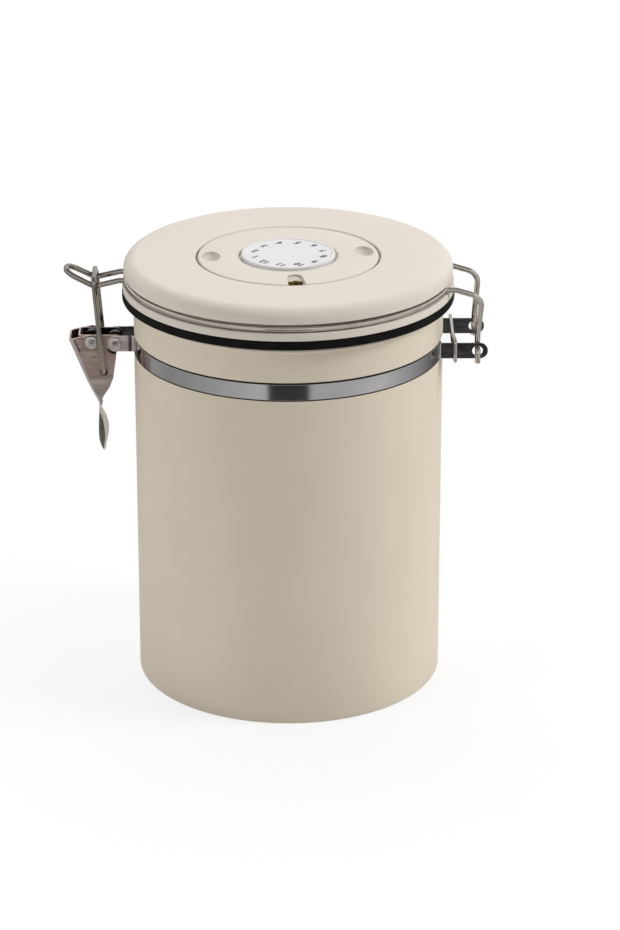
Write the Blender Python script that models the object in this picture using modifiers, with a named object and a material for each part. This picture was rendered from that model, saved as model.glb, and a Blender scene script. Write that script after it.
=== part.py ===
"""Storage canister with a wire bail lid, a toggle latch and a date dial.

Metres, +Z up. The origin is the centre of the base. The latch is on the -X
side and the hinge on the +X side. Front is -Y.
"""
import math

import bmesh
import bpy
from mathutils import Matrix, Vector

# General fits
GAP = 0.0003
CUT_OVERRUN = 0.0020
MERGE = 0.00001
SHARP_ANGLE = math.radians(35)
BIG_STEPS = 44
MID_STEPS = 32
HOLE_STEPS = 14
POST_STEPS = 10
SMALL_STEPS = 10
BAND_STEPS = 20
BALL_STEPS = 16

# Canister body
BODY_RADIUS = 0.0610
BODY_HEIGHT = 0.1580
BODY_WALL = 0.0006
BODY_CORNER = 0.0014
RIM_BEAD = 0.0011
BASE_FOOT_WIDTH = 0.0055
BASE_CHANNEL_WIDTH = 0.0215
BASE_CHANNEL_DEPTH = 0.0015

# Band and its ears
BAND_DROP = 0.0150
BAND_HEIGHT = 0.0064
STRIP_THICKNESS = 0.0008
GROOVE_HEADROOM = 0.0006
STRIP_BEND = 0.0013
ROUND_END_TURN = math.radians(86)
HINGE_EAR_Y = 0.0145
HINGE_EAR_REACH = 0.0140
HINGE_HOLE_REACH = 0.0131
HINGE_HOLE_RADIUS = 0.0021
LATCH_EAR_Y = 0.0057
LATCH_EAR_REACH = 0.0075

# Bail wire
BAIL_WIRE = 0.0011
BAIL_RING_INSET = 0.0012
BAIL_BEND = 0.0018
BAIL_KINK = 0.0016
BAIL_SHOULDER_BEND = 0.0056
BAIL_SHOULDER_Y = 0.0128
BAIL_SHOULDER_REACH = 0.0012
BAIL_SHOULDER_DROP = 0.0034
BAIL_LEG_STRAIGHT = 0.0048
BAIL_HOOK_LENGTH = 0.0048
TONGUE_Y = 0.0058
TONGUE_LENGTH = 0.0230
TONGUE_DIP = 0.0028
TONGUE_DIP_BEND = 0.0050
TONGUE_RISE = 0.0056
TONGUE_CLEAR_OF_LID = 0.0010
TONGUE_TIP_BEND = 0.0043
TONGUE_TIP_WIDTH_SHARE = 0.86

# Hinge ring
RING_WIRE = 0.0007
RING_CORNER = 0.0011
RING_REACH = 0.0044
RING_KINK = 0.0007
RING_KINK_Y = 0.0070

# Lid shell
LID_FLANGE_INSET = 0.0002
LID_SKIRT_INSET = 0.0005
LID_FLANGE_THICKNESS = 0.0032
LID_GROOVE_HEIGHT = 0.0032
LID_SKIRT_HEIGHT = 0.0065
LID_EDGE = 0.0048
LID_WALL = 0.0020
LID_FLANGE_WIDTH = 0.0142
WELL_TO_POST = 0.00345
LEDGE_WIDTH = 0.0037
LEDGE_THICKNESS = 0.0019
LEDGE_DEPTH = 0.0029
CHAMBER_DEPTH = 0.0088
CHAMBER_FLOOR = 0.0016
POST_RADIUS = 0.0032
POST_INSET = 0.0084
VALVE_SEAT_HOLES = 6
VALVE_SEAT_CIRCLE = 0.0048
VALVE_SEAT_HOLE = 0.0011

# Gasket and liner
GASKET_OVERHANG = 0.0044
GASKET_THICKNESS = 0.0033
GASKET_EDGE = 0.0006
LINER_INSET = 0.0076
LINER_WALL = 0.0016
LINER_LIP = 0.0018
LINER_LIP_HEIGHT = 0.0032
LINER_DEPTH = 0.0092
LINER_TAPER = 0.0012

# Liner screws
SCREW_SHANK = 0.0012
SCREW_HEAD = 0.0028
SCREW_HEAD_HEIGHT = 0.0012
SCREW_LENGTH = 0.0095
SCREW_COUNT = 4

# Filter
FILTER_OPENING = 0.0160
FILTER_WALL = 0.0014
FILTER_FLANGE = 0.0024
FILTER_THICKNESS = 0.0012
FELT_THICKNESS = 0.0018
FILTER_SLOT = 0.0016
FILTER_SLOT_PITCH = 0.0038
FILTER_SLOT_MARGIN = 0.0022

# Valve flap
FLAP_RADIUS = 0.0080
FLAP_THICKNESS = 0.0010
FLAP_MIDDLE_SHARE = 1.4
FLAP_NECK_SHARE = 1.3
FLAP_STEM = 0.0016
FLAP_BULB = 0.0026
FLAP_BULB_HEIGHT = 0.0012
FLAP_LIFT = 0.0008

# Valve cover
COVER_GAP = 0.0009
COVER_FLANGE = 0.0027
COVER_EDGE = 0.0008
COVER_SKIRT_WALL = 0.0016
COVER_SKIRT_DEPTH = 0.0046
COVER_PLATE = 0.0016
LUG_REACH = 0.0018
LUG_HEIGHT = 0.0014
LUG_ANGLE = math.radians(22)
LUG_CLEAR_ANGLE = math.radians(3)
LUG_COUNT = 3
LUG_START = math.radians(30)
COVER_TWIST = math.radians(45)
DIMPLE_RADIUS = 0.0037
DIMPLE_DEPTH = 0.0015
DIMPLE_STRETCH_SHARE = 1.6
DIMPLE_INSET = 0.0052
DIMPLE_ANGLES = (math.radians(183), math.radians(9))
NOTCH_ANGLE = math.radians(-84.5)
NOTCH_WIDTH = 0.0074
NOTCH_INNER_WIDTH = 0.0059
NOTCH_START = 0.0118
NOTCH_HOLE_START = 0.0064
NOTCH_HOLE_WIDTH = 0.0058
NOTCH_RAMP_DEPTH = 0.0019

# Date dial
COVER_RIM_WIDTH = 0.0160
DIAL_RAISE = 0.0006
DIAL_SIDE_GAP = 0.0010
DIAL_THICKNESS = 0.0020
DIAL_CHAMFER = 0.0008
DIAL_STEM = 0.0030
DIAL_SCREW_HEAD = 0.0046
DIAL_SCREW_HEIGHT = 0.0010
DIAL_SCREW_DEPTH = 0.0018

# Latch bracket and rivets
BRACKET_HEIGHT = 0.0060
BRACKET_BEND = 0.0014
BRACKET_WEB_REACH = 0.0053
RIVET_RADIUS = 0.0015
RIVET_HEAD = 0.00265
RIVET_HEAD_HEIGHT = 0.0007

# Latch lever
LEVER_REACH = 0.0166
LEVER_RAISE = 0.0006
LEVER_DOME = 0.0031
LEVER_CORNER_X = 0.0086
LEVER_CORNER_Z = 0.0010
LEVER_FOLD = 0.0013
LEVER_NECK_X = 0.0026
LEVER_NECK_Z = 0.0275
LEVER_NECK_HALF = 0.0009
LEVER_STRAIGHT = 0.0150
LEVER_TAIL = 0.0200
LEVER_TAIL_HALF = 0.0048
LEVER_TAIL_CUP = 0.0036
LEVER_LOW_ROOM = 0.0030
LEVER_DOME_START = math.radians(104)
LEVER_DOME_END = math.radians(20)
LEVER_FOLD_SHARE = 0.6

# Places across the tail's cup, as shares of its half width
LEVER_CUP_SHARES = (1.0, 0.75, 0.5, 0.25, 0.0)
# Lever rows below the straight part: share of the way to the neck, share of
# the half width, share of the open edge
LEVER_NARROW_SHARES = (
    (0.48, 0.66, 0.56),
    (0.80, 0.24, 0.20),
    (1.00, 0.00, 0.02),
)
# Tail rows: share of its length, of its half width, of its cup, and how far
# its outer side leans in
LEVER_TAIL_SHARES = (
    (0.13, 0.36, 0.22, -0.10),
    (0.30, 0.72, 0.60, -0.60),
    (0.48, 0.95, 0.92, -0.90),
    (0.64, 1.00, 1.00, -0.95),
    (0.80, 0.80, 0.78, -0.55),
    (0.93, 0.42, 0.34, 0.55),
    (1.00, 0.10, 0.04, 1.55),
)
# Free edge of the cheeks, as shares of the pivot's distance to the ear rivet
# across and of the neck's depth down
LEVER_EDGE_SHARES = (
    (0.36, -0.03),
    (0.58, 0.10),
    (0.80, 0.165),
    (1.02, 0.185),
    (1.06, 0.22),
    (1.01, 0.31),
    (0.91, 0.545),
    (0.735, 0.70),
    (0.535, 0.81),
    (0.415, 0.905),
    (0.40, 1.00),
)

# Latch link
LINK_WIRE = 0.0010
LINK_HALF = 0.0083
LINK_BEND = 0.0024
LINK_EYE_BEND = 0.0014
LINK_HOLE_RADIUS = 0.0016
LINK_ARM = 0.01285
LINK_ARM_ANGLE = math.radians(21)
LINK_OVER_TONGUE = 0.00124
LINK_BAR_REACH = 0.0151

# Radii that follow from the body's
GASKET_RADIUS = BODY_RADIUS + GASKET_OVERHANG
LID_FLANGE_RADIUS = GASKET_RADIUS - LID_FLANGE_INSET
LID_SKIRT_RADIUS = LID_FLANGE_RADIUS - LID_SKIRT_INSET
BAIL_RING_RADIUS = LID_FLANGE_RADIUS - BAIL_RING_INSET
LINER_RADIUS = BODY_RADIUS - LINER_INSET
POST_CIRCLE = LINER_RADIUS - POST_INSET
WELL_RADIUS = POST_CIRCLE - POST_RADIUS - LID_WALL - WELL_TO_POST
COVER_RADIUS = WELL_RADIUS - COVER_GAP
DIMPLE_CIRCLE = COVER_RADIUS - DIMPLE_INSET
DIAL_RECESS = COVER_RADIUS - COVER_RIM_WIDTH
DIAL_RADIUS = DIAL_RECESS - DIAL_SIDE_GAP
LINK_BAR_X = BODY_RADIUS + LINK_BAR_REACH

# Heights and places that follow
BAND_TOP = BODY_HEIGHT - BAND_DROP
BAND_BOTTOM = BAND_TOP - BAND_HEIGHT
BAND_MID = BAND_TOP - BAND_HEIGHT / 2
BAND_INNER = BODY_RADIUS - STRIP_THICKNESS
BAND_CENTRE = BODY_RADIUS - STRIP_THICKNESS / 2
GROOVE_RADIUS = BAND_INNER - GAP
GASKET_BOTTOM = BODY_HEIGHT + GAP
GASKET_TOP = GASKET_BOTTOM + GASKET_THICKNESS
LID_BOTTOM = GASKET_TOP + GAP
LID_FLANGE_TOP = LID_BOTTOM + LID_FLANGE_THICKNESS
LID_SKIRT_BOTTOM = LID_FLANGE_TOP + LID_GROOVE_HEIGHT
LID_TOP = LID_SKIRT_BOTTOM + LID_SKIRT_HEIGHT
LID_GROOVE_RADIUS = BAIL_RING_RADIUS - BAIL_WIRE - GAP
BAIL_RING_Z = LID_FLANGE_TOP + BAIL_WIRE + GAP
LEDGE_TOP = LID_TOP - LEDGE_DEPTH
LEDGE_BOTTOM = LEDGE_TOP - LEDGE_THICKNESS
LEDGE_RADIUS = WELL_RADIUS - LEDGE_WIDTH
CHAMBER_TOP = LID_TOP - CHAMBER_DEPTH
CHAMBER_BOTTOM = CHAMBER_TOP - CHAMBER_FLOOR
LINER_TOP = LID_BOTTOM - GAP
LINER_LIP_TOP = GASKET_BOTTOM - GAP
LINER_BOTTOM = LINER_TOP - LINER_DEPTH
LINER_FLOOR = LINER_BOTTOM + LINER_WALL
POST_BOTTOM = LINER_FLOOR + GAP
COVER_FLANGE_BOTTOM = LEDGE_TOP + GAP
COVER_TOP = COVER_FLANGE_BOTTOM + COVER_FLANGE
COVER_SKIRT_RADIUS = LEDGE_RADIUS - GAP
DIAL_TOP = COVER_TOP + DIAL_RAISE
DIAL_BOTTOM = DIAL_TOP - DIAL_THICKNESS
DIAL_FLOOR = DIAL_BOTTOM - GAP
COVER_UNDERSIDE = DIAL_FLOOR - COVER_PLATE
LUG_TOP = LEDGE_BOTTOM - GAP
DIAL_STEM_BOTTOM = COVER_UNDERSIDE - GAP
HINGE_X = BODY_RADIUS + HINGE_HOLE_REACH
HINGE_Z = BAND_MID + HINGE_HOLE_RADIUS - BAIL_WIRE - GAP
BAIL_LEG_Y = HINGE_EAR_Y - STRIP_THICKNESS / 2 - GAP - BAIL_WIRE
BAIL_HOOK_Y = HINGE_EAR_Y + STRIP_THICKNESS / 2 + GAP + BAIL_WIRE
LATCH_EAR_X = -(BODY_RADIUS + LATCH_EAR_REACH)
LATCH_Z = BAND_MID + LEVER_RAISE
LEVER_X = -(BODY_RADIUS + LEVER_REACH)
BRACKET_Y = LATCH_EAR_Y - STRIP_THICKNESS - GAP
LINK_EYE_X = LEVER_X + LINK_ARM * math.sin(LINK_ARM_ANGLE)
LINK_EYE_Z = LATCH_Z - LINK_ARM * math.cos(LINK_ARM_ANGLE)
TONGUE_Z = BAIL_RING_Z - TONGUE_DIP
LINK_BAR_Z = TONGUE_Z + BAIL_WIRE + LINK_OVER_TONGUE + LINK_WIRE


def clear_scene():
    for old in list(bpy.data.objects):
        bpy.data.objects.remove(old, do_unlink=True)


def new_collection(name, hidden=False):
    group = bpy.data.collections.new(name)
    bpy.context.scene.collection.children.link(group)
    group.hide_render = hidden
    return group


def finish_material(name, colour, roughness, metallic):
    material = bpy.data.materials.new(name)
    material.use_nodes = True
    shader = material.node_tree.nodes["Principled BSDF"]
    shader.inputs["Base Color"].default_value = (*colour, 1)
    shader.inputs["Roughness"].default_value = roughness
    shader.inputs["Metallic"].default_value = metallic
    material.diffuse_color = (*colour, 1)
    return material


class Finish:
    """Colour, roughness and metallic value of each kind of surface."""

    CREAM = ((0.79, 0.73, 0.62), 0.45, 0.0)
    LID = ((0.81, 0.77, 0.70), 0.38, 0.0)
    STEEL = ((0.60, 0.59, 0.57), 0.30, 1.0)
    WARM_STEEL = ((0.42, 0.38, 0.35), 0.28, 1.0)
    RUBBER = ((0.02, 0.02, 0.02), 0.55, 0.0)
    WHITE = ((0.86, 0.85, 0.83), 0.35, 0.0)
    FELT = ((0.12, 0.12, 0.12), 0.95, 0.0)


def link_part(name, data, group, finish):
    """Object with its own material, in the canister's collection."""
    part = bpy.data.objects.new(name, data)
    data.materials.append(finish_material(name, *finish))
    group.objects.link(part)
    return part


def shade(mesh):
    mesh.shade_smooth()
    mesh.set_sharp_from_angle(angle=SHARP_ANGLE)


def arc(centre, radius, start, end, steps):
    """Points on an arc in the profile plane, both ends included."""
    points = []
    for step in range(steps + 1):
        angle = start + (end - start) * step / steps
        points.append((centre[0] + radius * math.cos(angle), centre[1] + radius * math.sin(angle)))
    return points


def turned(name, profile, group, finish, steps, closed=False):
    """Turn a profile of (radius, height) about Z. A closed one makes a ring."""
    mesh = bpy.data.meshes.new(name)
    corners = [(radius, 0, height) for radius, height in profile]
    edges = [(index, index + 1) for index in range(len(profile) - 1)]
    if closed:
        edges.append((len(profile) - 1, 0))
    mesh.from_pydata(corners, edges, [])
    part = link_part(name, mesh, group, finish)
    screw = part.modifiers.new("Turn", "SCREW")
    screw.axis = "Z"
    screw.angle = 2 * math.pi
    screw.steps = steps
    screw.render_steps = steps
    screw.use_merge_vertices = True
    screw.merge_threshold = MERGE
    screw.use_smooth_shade = True
    return part


def wire(name, points, radius, group, finish, cyclic=False):
    """Round wire along a list of points."""
    curve = bpy.data.curves.new(name, "CURVE")
    curve.dimensions = "3D"
    curve.bevel_depth = radius
    curve.bevel_resolution = 2
    curve.use_fill_caps = not cyclic
    spline = curve.splines.new("POLY")
    spline.points.add(len(points) - 1)
    for target, point in zip(spline.points, points):
        target.co = (*point, 1)
    spline.use_cyclic_u = cyclic
    return link_part(name, curve, group, finish)


def rounded_path(corners, steps=3, closed=False):
    """Path through (point, bend radius) pairs, each bend turned as an arc."""
    path = []
    count = len(corners)
    for index, (point, radius) in enumerate(corners):
        here = Vector(point)
        inside = closed or 0 < index < count - 1
        if radius <= 0 or not inside:
            path.append(here)
            continue
        before = (Vector(corners[index - 1][0]) - here).normalized()
        after = (Vector(corners[(index + 1) % count][0]) - here).normalized()
        half = before.angle(after) / 2
        centre = here + (before + after).normalized() * (radius / math.sin(half))
        start = here + before * (radius / math.tan(half)) - centre
        end = here + after * (radius / math.tan(half)) - centre
        axis = start.cross(end).normalized()
        turn = math.pi - 2 * half
        for step in range(steps + 1):
            spin = Matrix.Rotation(turn * step / steps, 3, axis)
            path.append(centre + spin @ start)
    return path


def bent_strip(name, stations, group, finish):
    """Sheet strip along stations of (x, y, low z, high z), thickened both ways."""
    mesh = bpy.data.meshes.new(name)
    corners = []
    for x, y, low, high in stations:
        corners.append((x, y, low))
        corners.append((x, y, high))
    faces = []
    for index in range(len(stations) - 1):
        first = 2 * index
        faces.append((first, first + 2, first + 3, first + 1))
    mesh.from_pydata(corners, [], faces)
    part = link_part(name, mesh, group, finish)
    thicken(part)
    return part


def thicken(part):
    solid = part.modifiers.new("Sheet", "SOLIDIFY")
    solid.thickness = STRIP_THICKNESS
    solid.offset = 0
    solid.use_even_offset = True


def extruded(name, outline, low, high, group):
    """Prism mesh object from an outline of (x, y) between two heights."""
    curve = bpy.data.curves.new(name, "CURVE")
    curve.dimensions = "2D"
    curve.fill_mode = "BOTH"
    curve.extrude = (high - low) / 2
    spline = curve.splines.new("POLY")
    spline.points.add(len(outline) - 1)
    for target, point in zip(spline.points, outline):
        target.co = (point[0], point[1], 0, 1)
    spline.use_cyclic_u = True
    guide = bpy.data.objects.new(name + "_outline", curve)
    group.objects.link(guide)
    guide.location = (0, 0, (high + low) / 2)
    bpy.context.view_layer.update()
    mesh = bpy.data.meshes.new_from_object(guide.evaluated_get(bpy.context.evaluated_depsgraph_get()))
    body = bmesh.new()
    body.from_mesh(mesh)
    bmesh.ops.remove_doubles(body, verts=body.verts, dist=MERGE)
    bmesh.ops.recalc_face_normals(body, faces=body.faces)
    body.to_mesh(mesh)
    body.free()
    prism = bpy.data.objects.new(name, mesh)
    prism.matrix_world = guide.matrix_world
    group.objects.link(prism)
    bpy.data.objects.remove(guide, do_unlink=True)
    return prism


def cylinder(name, radius, centre, length, axis, group, steps=HOLE_STEPS):
    """Cylinder along X, Y or Z."""
    mesh = bpy.data.meshes.new(name)
    body = bmesh.new()
    bmesh.ops.create_cone(
        body, cap_ends=True, segments=steps, radius1=radius, radius2=radius, depth=length
    )
    body.to_mesh(mesh)
    body.free()
    part = bpy.data.objects.new(name, mesh)
    turns = {"X": (0, math.pi / 2, 0), "Y": (math.pi / 2, 0, 0), "Z": (0, 0, 0)}
    part.rotation_euler = turns[axis]
    part.location = centre
    group.objects.link(part)
    return part


def box(name, size, centre, turn, group):
    """Box turned about the Z axis of the canister."""
    mesh = bpy.data.meshes.new(name)
    body = bmesh.new()
    bmesh.ops.create_cube(body, size=1)
    bmesh.ops.scale(body, vec=size, verts=body.verts)
    body.to_mesh(mesh)
    body.free()
    part = bpy.data.objects.new(name, mesh)
    part.rotation_euler = (0, 0, turn)
    part.location = centre
    group.objects.link(part)
    return part


def as_cutter(tool):
    tool.hide_render = True
    tool.display_type = "WIRE"


def combine(part, tool, operation):
    """Boolean of a helper shape into a part."""
    as_cutter(tool)
    change = part.modifiers.new(tool.name, "BOOLEAN")
    change.operation = operation
    change.solver = "EXACT"
    change.object = tool


def sector(inner, outer, middle, spread, steps=4):
    """Outline of a piece of ring, as seen from above."""
    start = middle - spread / 2
    end = middle + spread / 2
    return arc((0, 0), outer, start, end, steps) + arc((0, 0), inner, end, start, steps)


def polar(radius, angle, height):
    return Vector((radius * math.cos(angle), radius * math.sin(angle), height))


def pivot(name, place, group, parent=None):
    """Empty on a joint's axis."""
    empty = bpy.data.objects.new(name, None)
    empty.matrix_world = Matrix.Translation(place)
    group.objects.link(empty)
    if parent:
        carry(empty, parent)
    return empty


def carry(part, empty):
    """Parent a part to an empty and leave it where it is."""
    part.parent = empty
    part.matrix_parent_inverse = rest_place(empty).inverted()


def rest_place(empty):
    place = empty.matrix_basis.copy()
    if empty.parent:
        place = rest_place(empty.parent) @ empty.matrix_parent_inverse @ place
    return place


def canister_body(group):
    inner = BODY_RADIUS - BODY_WALL
    corner = BODY_CORNER
    corner_radius = BODY_RADIUS - corner
    foot = corner_radius - BASE_FOOT_WIDTH
    slope = BASE_CHANNEL_DEPTH
    hub = foot - BASE_CHANNEL_WIDTH
    bead_centre = (inner + RIM_BEAD, BODY_HEIGHT - RIM_BEAD)
    bead_end = -math.pi + math.acos((bead_centre[0] - BODY_RADIUS) / RIM_BEAD)
    groove_low = BAND_BOTTOM - GAP
    groove_high = BAND_TOP + GROOVE_HEADROOM
    groove_inner = GROOVE_RADIUS - BODY_WALL
    profile = [
        (0, BODY_WALL),
        (hub, BODY_WALL),
        (hub + slope, BASE_CHANNEL_DEPTH + BODY_WALL),
        (foot - slope, BASE_CHANNEL_DEPTH + BODY_WALL),
        (foot, BODY_WALL),
    ]
    profile += arc((corner_radius, corner), corner - BODY_WALL, -math.pi / 2, 0, 3)
    profile += [
        (inner, groove_low - BODY_WALL),
        (groove_inner, groove_low),
        (groove_inner, groove_high),
        (inner, groove_high + BODY_WALL),
    ]
    profile += arc(bead_centre, RIM_BEAD, math.pi, bead_end, 5)
    profile += [
        (BODY_RADIUS, groove_high),
        (GROOVE_RADIUS, groove_high),
        (GROOVE_RADIUS, groove_low),
        (BODY_RADIUS, groove_low),
    ]
    profile += arc((corner_radius, corner), corner, 0, -math.pi / 2, 3)
    profile += [
        (foot, 0),
        (foot - slope, BASE_CHANNEL_DEPTH),
        (hub + slope, BASE_CHANNEL_DEPTH),
        (hub, 0),
        (0, 0),
    ]
    return turned("canister_body", profile, group, Finish.CREAM, BIG_STEPS)


def rounded_end(middle_x, y, middle_z, half_height, direction, steps=4):
    """Stations of a strip's round end, from its full height to its tip."""
    stations = []
    for step in range(steps + 1):
        angle = ROUND_END_TURN * step / steps
        x = middle_x + direction * half_height * math.sin(angle)
        half = half_height * math.cos(angle)
        stations.append((x, y, middle_z - half, middle_z + half))
    return stations


def strap(name, side, group, cutters):
    """Half of the band, with side -1 at the front and 1 at the rear."""
    half_height = BAND_HEIGHT / 2
    hinge_y = side * HINGE_EAR_Y
    latch_y = side * LATCH_EAR_Y
    hinge_angle = side * math.asin(HINGE_EAR_Y / BAND_CENTRE)
    latch_angle = side * (math.pi - math.asin(LATCH_EAR_Y / BAND_CENTRE))
    hinge_round_x = BODY_RADIUS + HINGE_EAR_REACH
    corners = [((hinge_round_x, hinge_y, BAND_MID), 0)]
    for step in range(BAND_STEPS + 1):
        angle = hinge_angle + (latch_angle - hinge_angle) * step / BAND_STEPS
        bend = STRIP_BEND if step in (0, BAND_STEPS) else 0
        corners.append((polar(BAND_CENTRE, angle, BAND_MID), bend))
    corners.append(((LATCH_EAR_X, latch_y, BAND_MID), 0))
    path = rounded_path(corners)
    stations = rounded_end(hinge_round_x, hinge_y, BAND_MID, half_height, 1)
    stations.reverse()
    for point in path[1:-1]:
        stations.append((point.x, point.y, BAND_BOTTOM, BAND_TOP))
    stations += rounded_end(LATCH_EAR_X, latch_y, BAND_MID, half_height, -1)
    part = bent_strip(name, stations, group, Finish.STEEL)
    ear_depth = STRIP_THICKNESS + CUT_OVERRUN
    hinge_hole = cylinder(
        name + "_hinge_hole", HINGE_HOLE_RADIUS, (HINGE_X, hinge_y, BAND_MID), ear_depth, "Y", cutters
    )
    rivet_hole = cylinder(
        name + "_rivet_hole", RIVET_RADIUS + GAP, (LATCH_EAR_X, latch_y, BAND_MID), ear_depth, "Y", cutters
    )
    combine(part, hinge_hole, "DIFFERENCE")
    combine(part, rivet_hole, "DIFFERENCE")
    return part


def hinge_ring(group):
    x = BODY_RADIUS + RING_REACH
    half_y = HINGE_EAR_Y + STRIP_THICKNESS / 2 + GAP + RING_WIRE
    half_z = BAND_HEIGHT / 2 + GAP + RING_WIRE
    back_x = x - RING_KINK
    corners = [
        ((x, -half_y, BAND_MID - half_z), RING_CORNER),
        ((x, half_y, BAND_MID - half_z), RING_CORNER),
        ((back_x, half_y, BAND_MID + half_z), RING_CORNER),
        ((back_x, -RING_KINK_Y, BAND_MID + half_z), RING_CORNER),
        ((x, -half_y, BAND_MID + half_z), RING_CORNER),
    ]
    path = rounded_path(corners, closed=True)
    return wire("hinge_ring", path, RING_WIRE, group, Finish.WARM_STEEL, cyclic=True)


def latch_bracket(group, cutters):
    half_height = BRACKET_HEIGHT / 2
    middle_z = (BAND_MID + LATCH_Z) / 2
    web_x = LEVER_X - BRACKET_WEB_REACH + STRIP_THICKNESS / 2
    corners = [
        ((LATCH_EAR_X, -BRACKET_Y, middle_z), 0),
        ((web_x, -BRACKET_Y, middle_z), BRACKET_BEND),
        ((web_x, BRACKET_Y, middle_z), BRACKET_BEND),
        ((LATCH_EAR_X, BRACKET_Y, middle_z), 0),
    ]
    path = rounded_path(corners)
    stations = rounded_end(LATCH_EAR_X, -BRACKET_Y, middle_z, half_height, 1)
    stations.reverse()
    for point in path[1:-1]:
        stations.append((point.x, point.y, middle_z - half_height, middle_z + half_height))
    stations += rounded_end(LATCH_EAR_X, BRACKET_Y, middle_z, half_height, 1)
    part = bent_strip("latch_bracket", stations, group, Finish.WARM_STEEL)
    depth = 2 * BRACKET_Y + STRIP_THICKNESS + CUT_OVERRUN
    for label, x, z in (("ear", LATCH_EAR_X, BAND_MID), ("lever", LEVER_X, LATCH_Z)):
        hole = cylinder(
            "bracket_" + label + "_hole", RIVET_RADIUS + GAP, (x, 0, z), depth, "Y", cutters
        )
        combine(part, hole, "DIFFERENCE")
    return part


def rivet(name, x, z, side, group):
    """Short rivet through bracket and outer sheet, with a domed head at each end."""
    inner_face = BRACKET_Y - STRIP_THICKNESS / 2 - GAP
    outer_face = LATCH_EAR_Y + STRIP_THICKNESS / 2 + GAP
    dome = RIVET_HEAD_HEIGHT / 2
    rim = RIVET_HEAD - dome
    profile = [
        (0, outer_face + RIVET_HEAD_HEIGHT),
        (rim, outer_face + RIVET_HEAD_HEIGHT),
        (RIVET_HEAD, outer_face + dome),
        (RIVET_HEAD, outer_face),
        (RIVET_RADIUS, outer_face),
        (RIVET_RADIUS, inner_face),
        (RIVET_HEAD, inner_face),
        (RIVET_HEAD, inner_face - dome),
        (rim, inner_face - RIVET_HEAD_HEIGHT),
        (0, inner_face - RIVET_HEAD_HEIGHT),
    ]
    part = turned(name, profile, group, Finish.WARM_STEEL, SMALL_STEPS)
    part.rotation_euler = (-side * math.pi / 2, 0, 0)
    part.location = (x, 0, z)
    return part


def lever_section(edge_x, edge_half, fold_x, fold_half):
    """Half of a folded section: free edge, middle of the cheek, fold, web."""
    fold = min(LEVER_FOLD, fold_half * LEVER_FOLD_SHARE)
    middle_x = (edge_x + fold_x + fold) / 2
    return [
        (edge_x, edge_half),
        (middle_x, (edge_half + fold_half) / 2),
        (fold_x + fold, fold_half),
        (fold_x, fold_half - fold),
        (fold_x, 0),
    ]


def tail_section(outer_x, cup, half_width):
    """Half of a cupped section, deepest in the middle."""
    section = []
    for share in LEVER_CUP_SHARES:
        section.append((outer_x + cup * share ** 2, half_width * share))
    return section


def latch_lever(group, cutters):
    """Folded sheet lever. Its places are taken from its pivot."""
    slope = (LEVER_CORNER_X + LEVER_NECK_X) / (LEVER_NECK_Z + LEVER_CORNER_Z)
    half = LATCH_EAR_Y
    rows = []

    def fold_x(z):
        return -LEVER_CORNER_X + (LEVER_CORNER_Z - z) * slope

    open_edge = LEVER_CORNER_X + LEVER_DOME
    top_z = LEVER_DOME + CUT_OVERRUN
    rows.append((top_z, lever_section(open_edge, half, fold_x(top_z), half)))
    rows.append((-LEVER_STRAIGHT, lever_section(open_edge, half, fold_x(-LEVER_STRAIGHT), half)))
    for down_share, half_share, edge_share in LEVER_NARROW_SHARES:
        z = -LEVER_STRAIGHT - (LEVER_NECK_Z - LEVER_STRAIGHT) * down_share
        row_half = LEVER_NECK_HALF + (half - LEVER_NECK_HALF) * half_share
        edge = fold_x(z) + LEVER_FOLD + open_edge * edge_share
        rows.append((z, lever_section(edge, row_half, fold_x(z), row_half)))
    for down_share, width_share, cup_share, out_share in LEVER_TAIL_SHARES:
        z = -LEVER_NECK_Z - LEVER_TAIL * down_share
        outer_x = LEVER_NECK_X + LEVER_NECK_HALF * out_share
        cup = LEVER_TAIL_CUP * cup_share
        rows.append((z, tail_section(outer_x, cup, LEVER_TAIL_HALF * width_share)))
    corners = []
    for z, section in rows:
        for x, y in section:
            corners.append((x, -y, z))
        for x, y in reversed(section[:-1]):
            corners.append((x, y, z))
    columns = 2 * len(rows[0][1]) - 1
    faces = []
    for row in range(len(rows) - 1):
        for column in range(columns - 1):
            first = row * columns + column
            faces.append((first, first + 1, first + columns + 1, first + columns))
    mesh = bpy.data.meshes.new("latch_lever")
    mesh.from_pydata(corners, [], faces)
    part = link_part("latch_lever", mesh, group, Finish.WARM_STEEL)
    part.location = (LEVER_X, 0, LATCH_Z)
    thicken(part)
    outline = lever_outline(fold_x)
    side_trim = extruded("lever_outline", outline, -LINK_HALF, LINK_HALF, cutters)
    side_trim.matrix_world = Matrix.Translation((LEVER_X, 0, LATCH_Z)) @ Matrix.Rotation(
        math.pi / 2, 4, "X"
    )
    combine(part, side_trim, "INTERSECT")
    depth = 2 * half + STRIP_THICKNESS + CUT_OVERRUN
    hole_z = LINK_EYE_Z - (LINK_HOLE_RADIUS - LINK_WIRE - GAP)
    pivot_hole = cylinder(
        "lever_pivot_hole", RIVET_RADIUS + GAP, (LEVER_X, 0, LATCH_Z), depth, "Y", cutters
    )
    eye_hole = cylinder(
        "lever_eye_hole", LINK_HOLE_RADIUS, (LINK_EYE_X, 0, hole_z), depth, "Y", cutters
    )
    combine(part, pivot_hole, "DIFFERENCE")
    combine(part, eye_hole, "DIFFERENCE")
    return part


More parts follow.
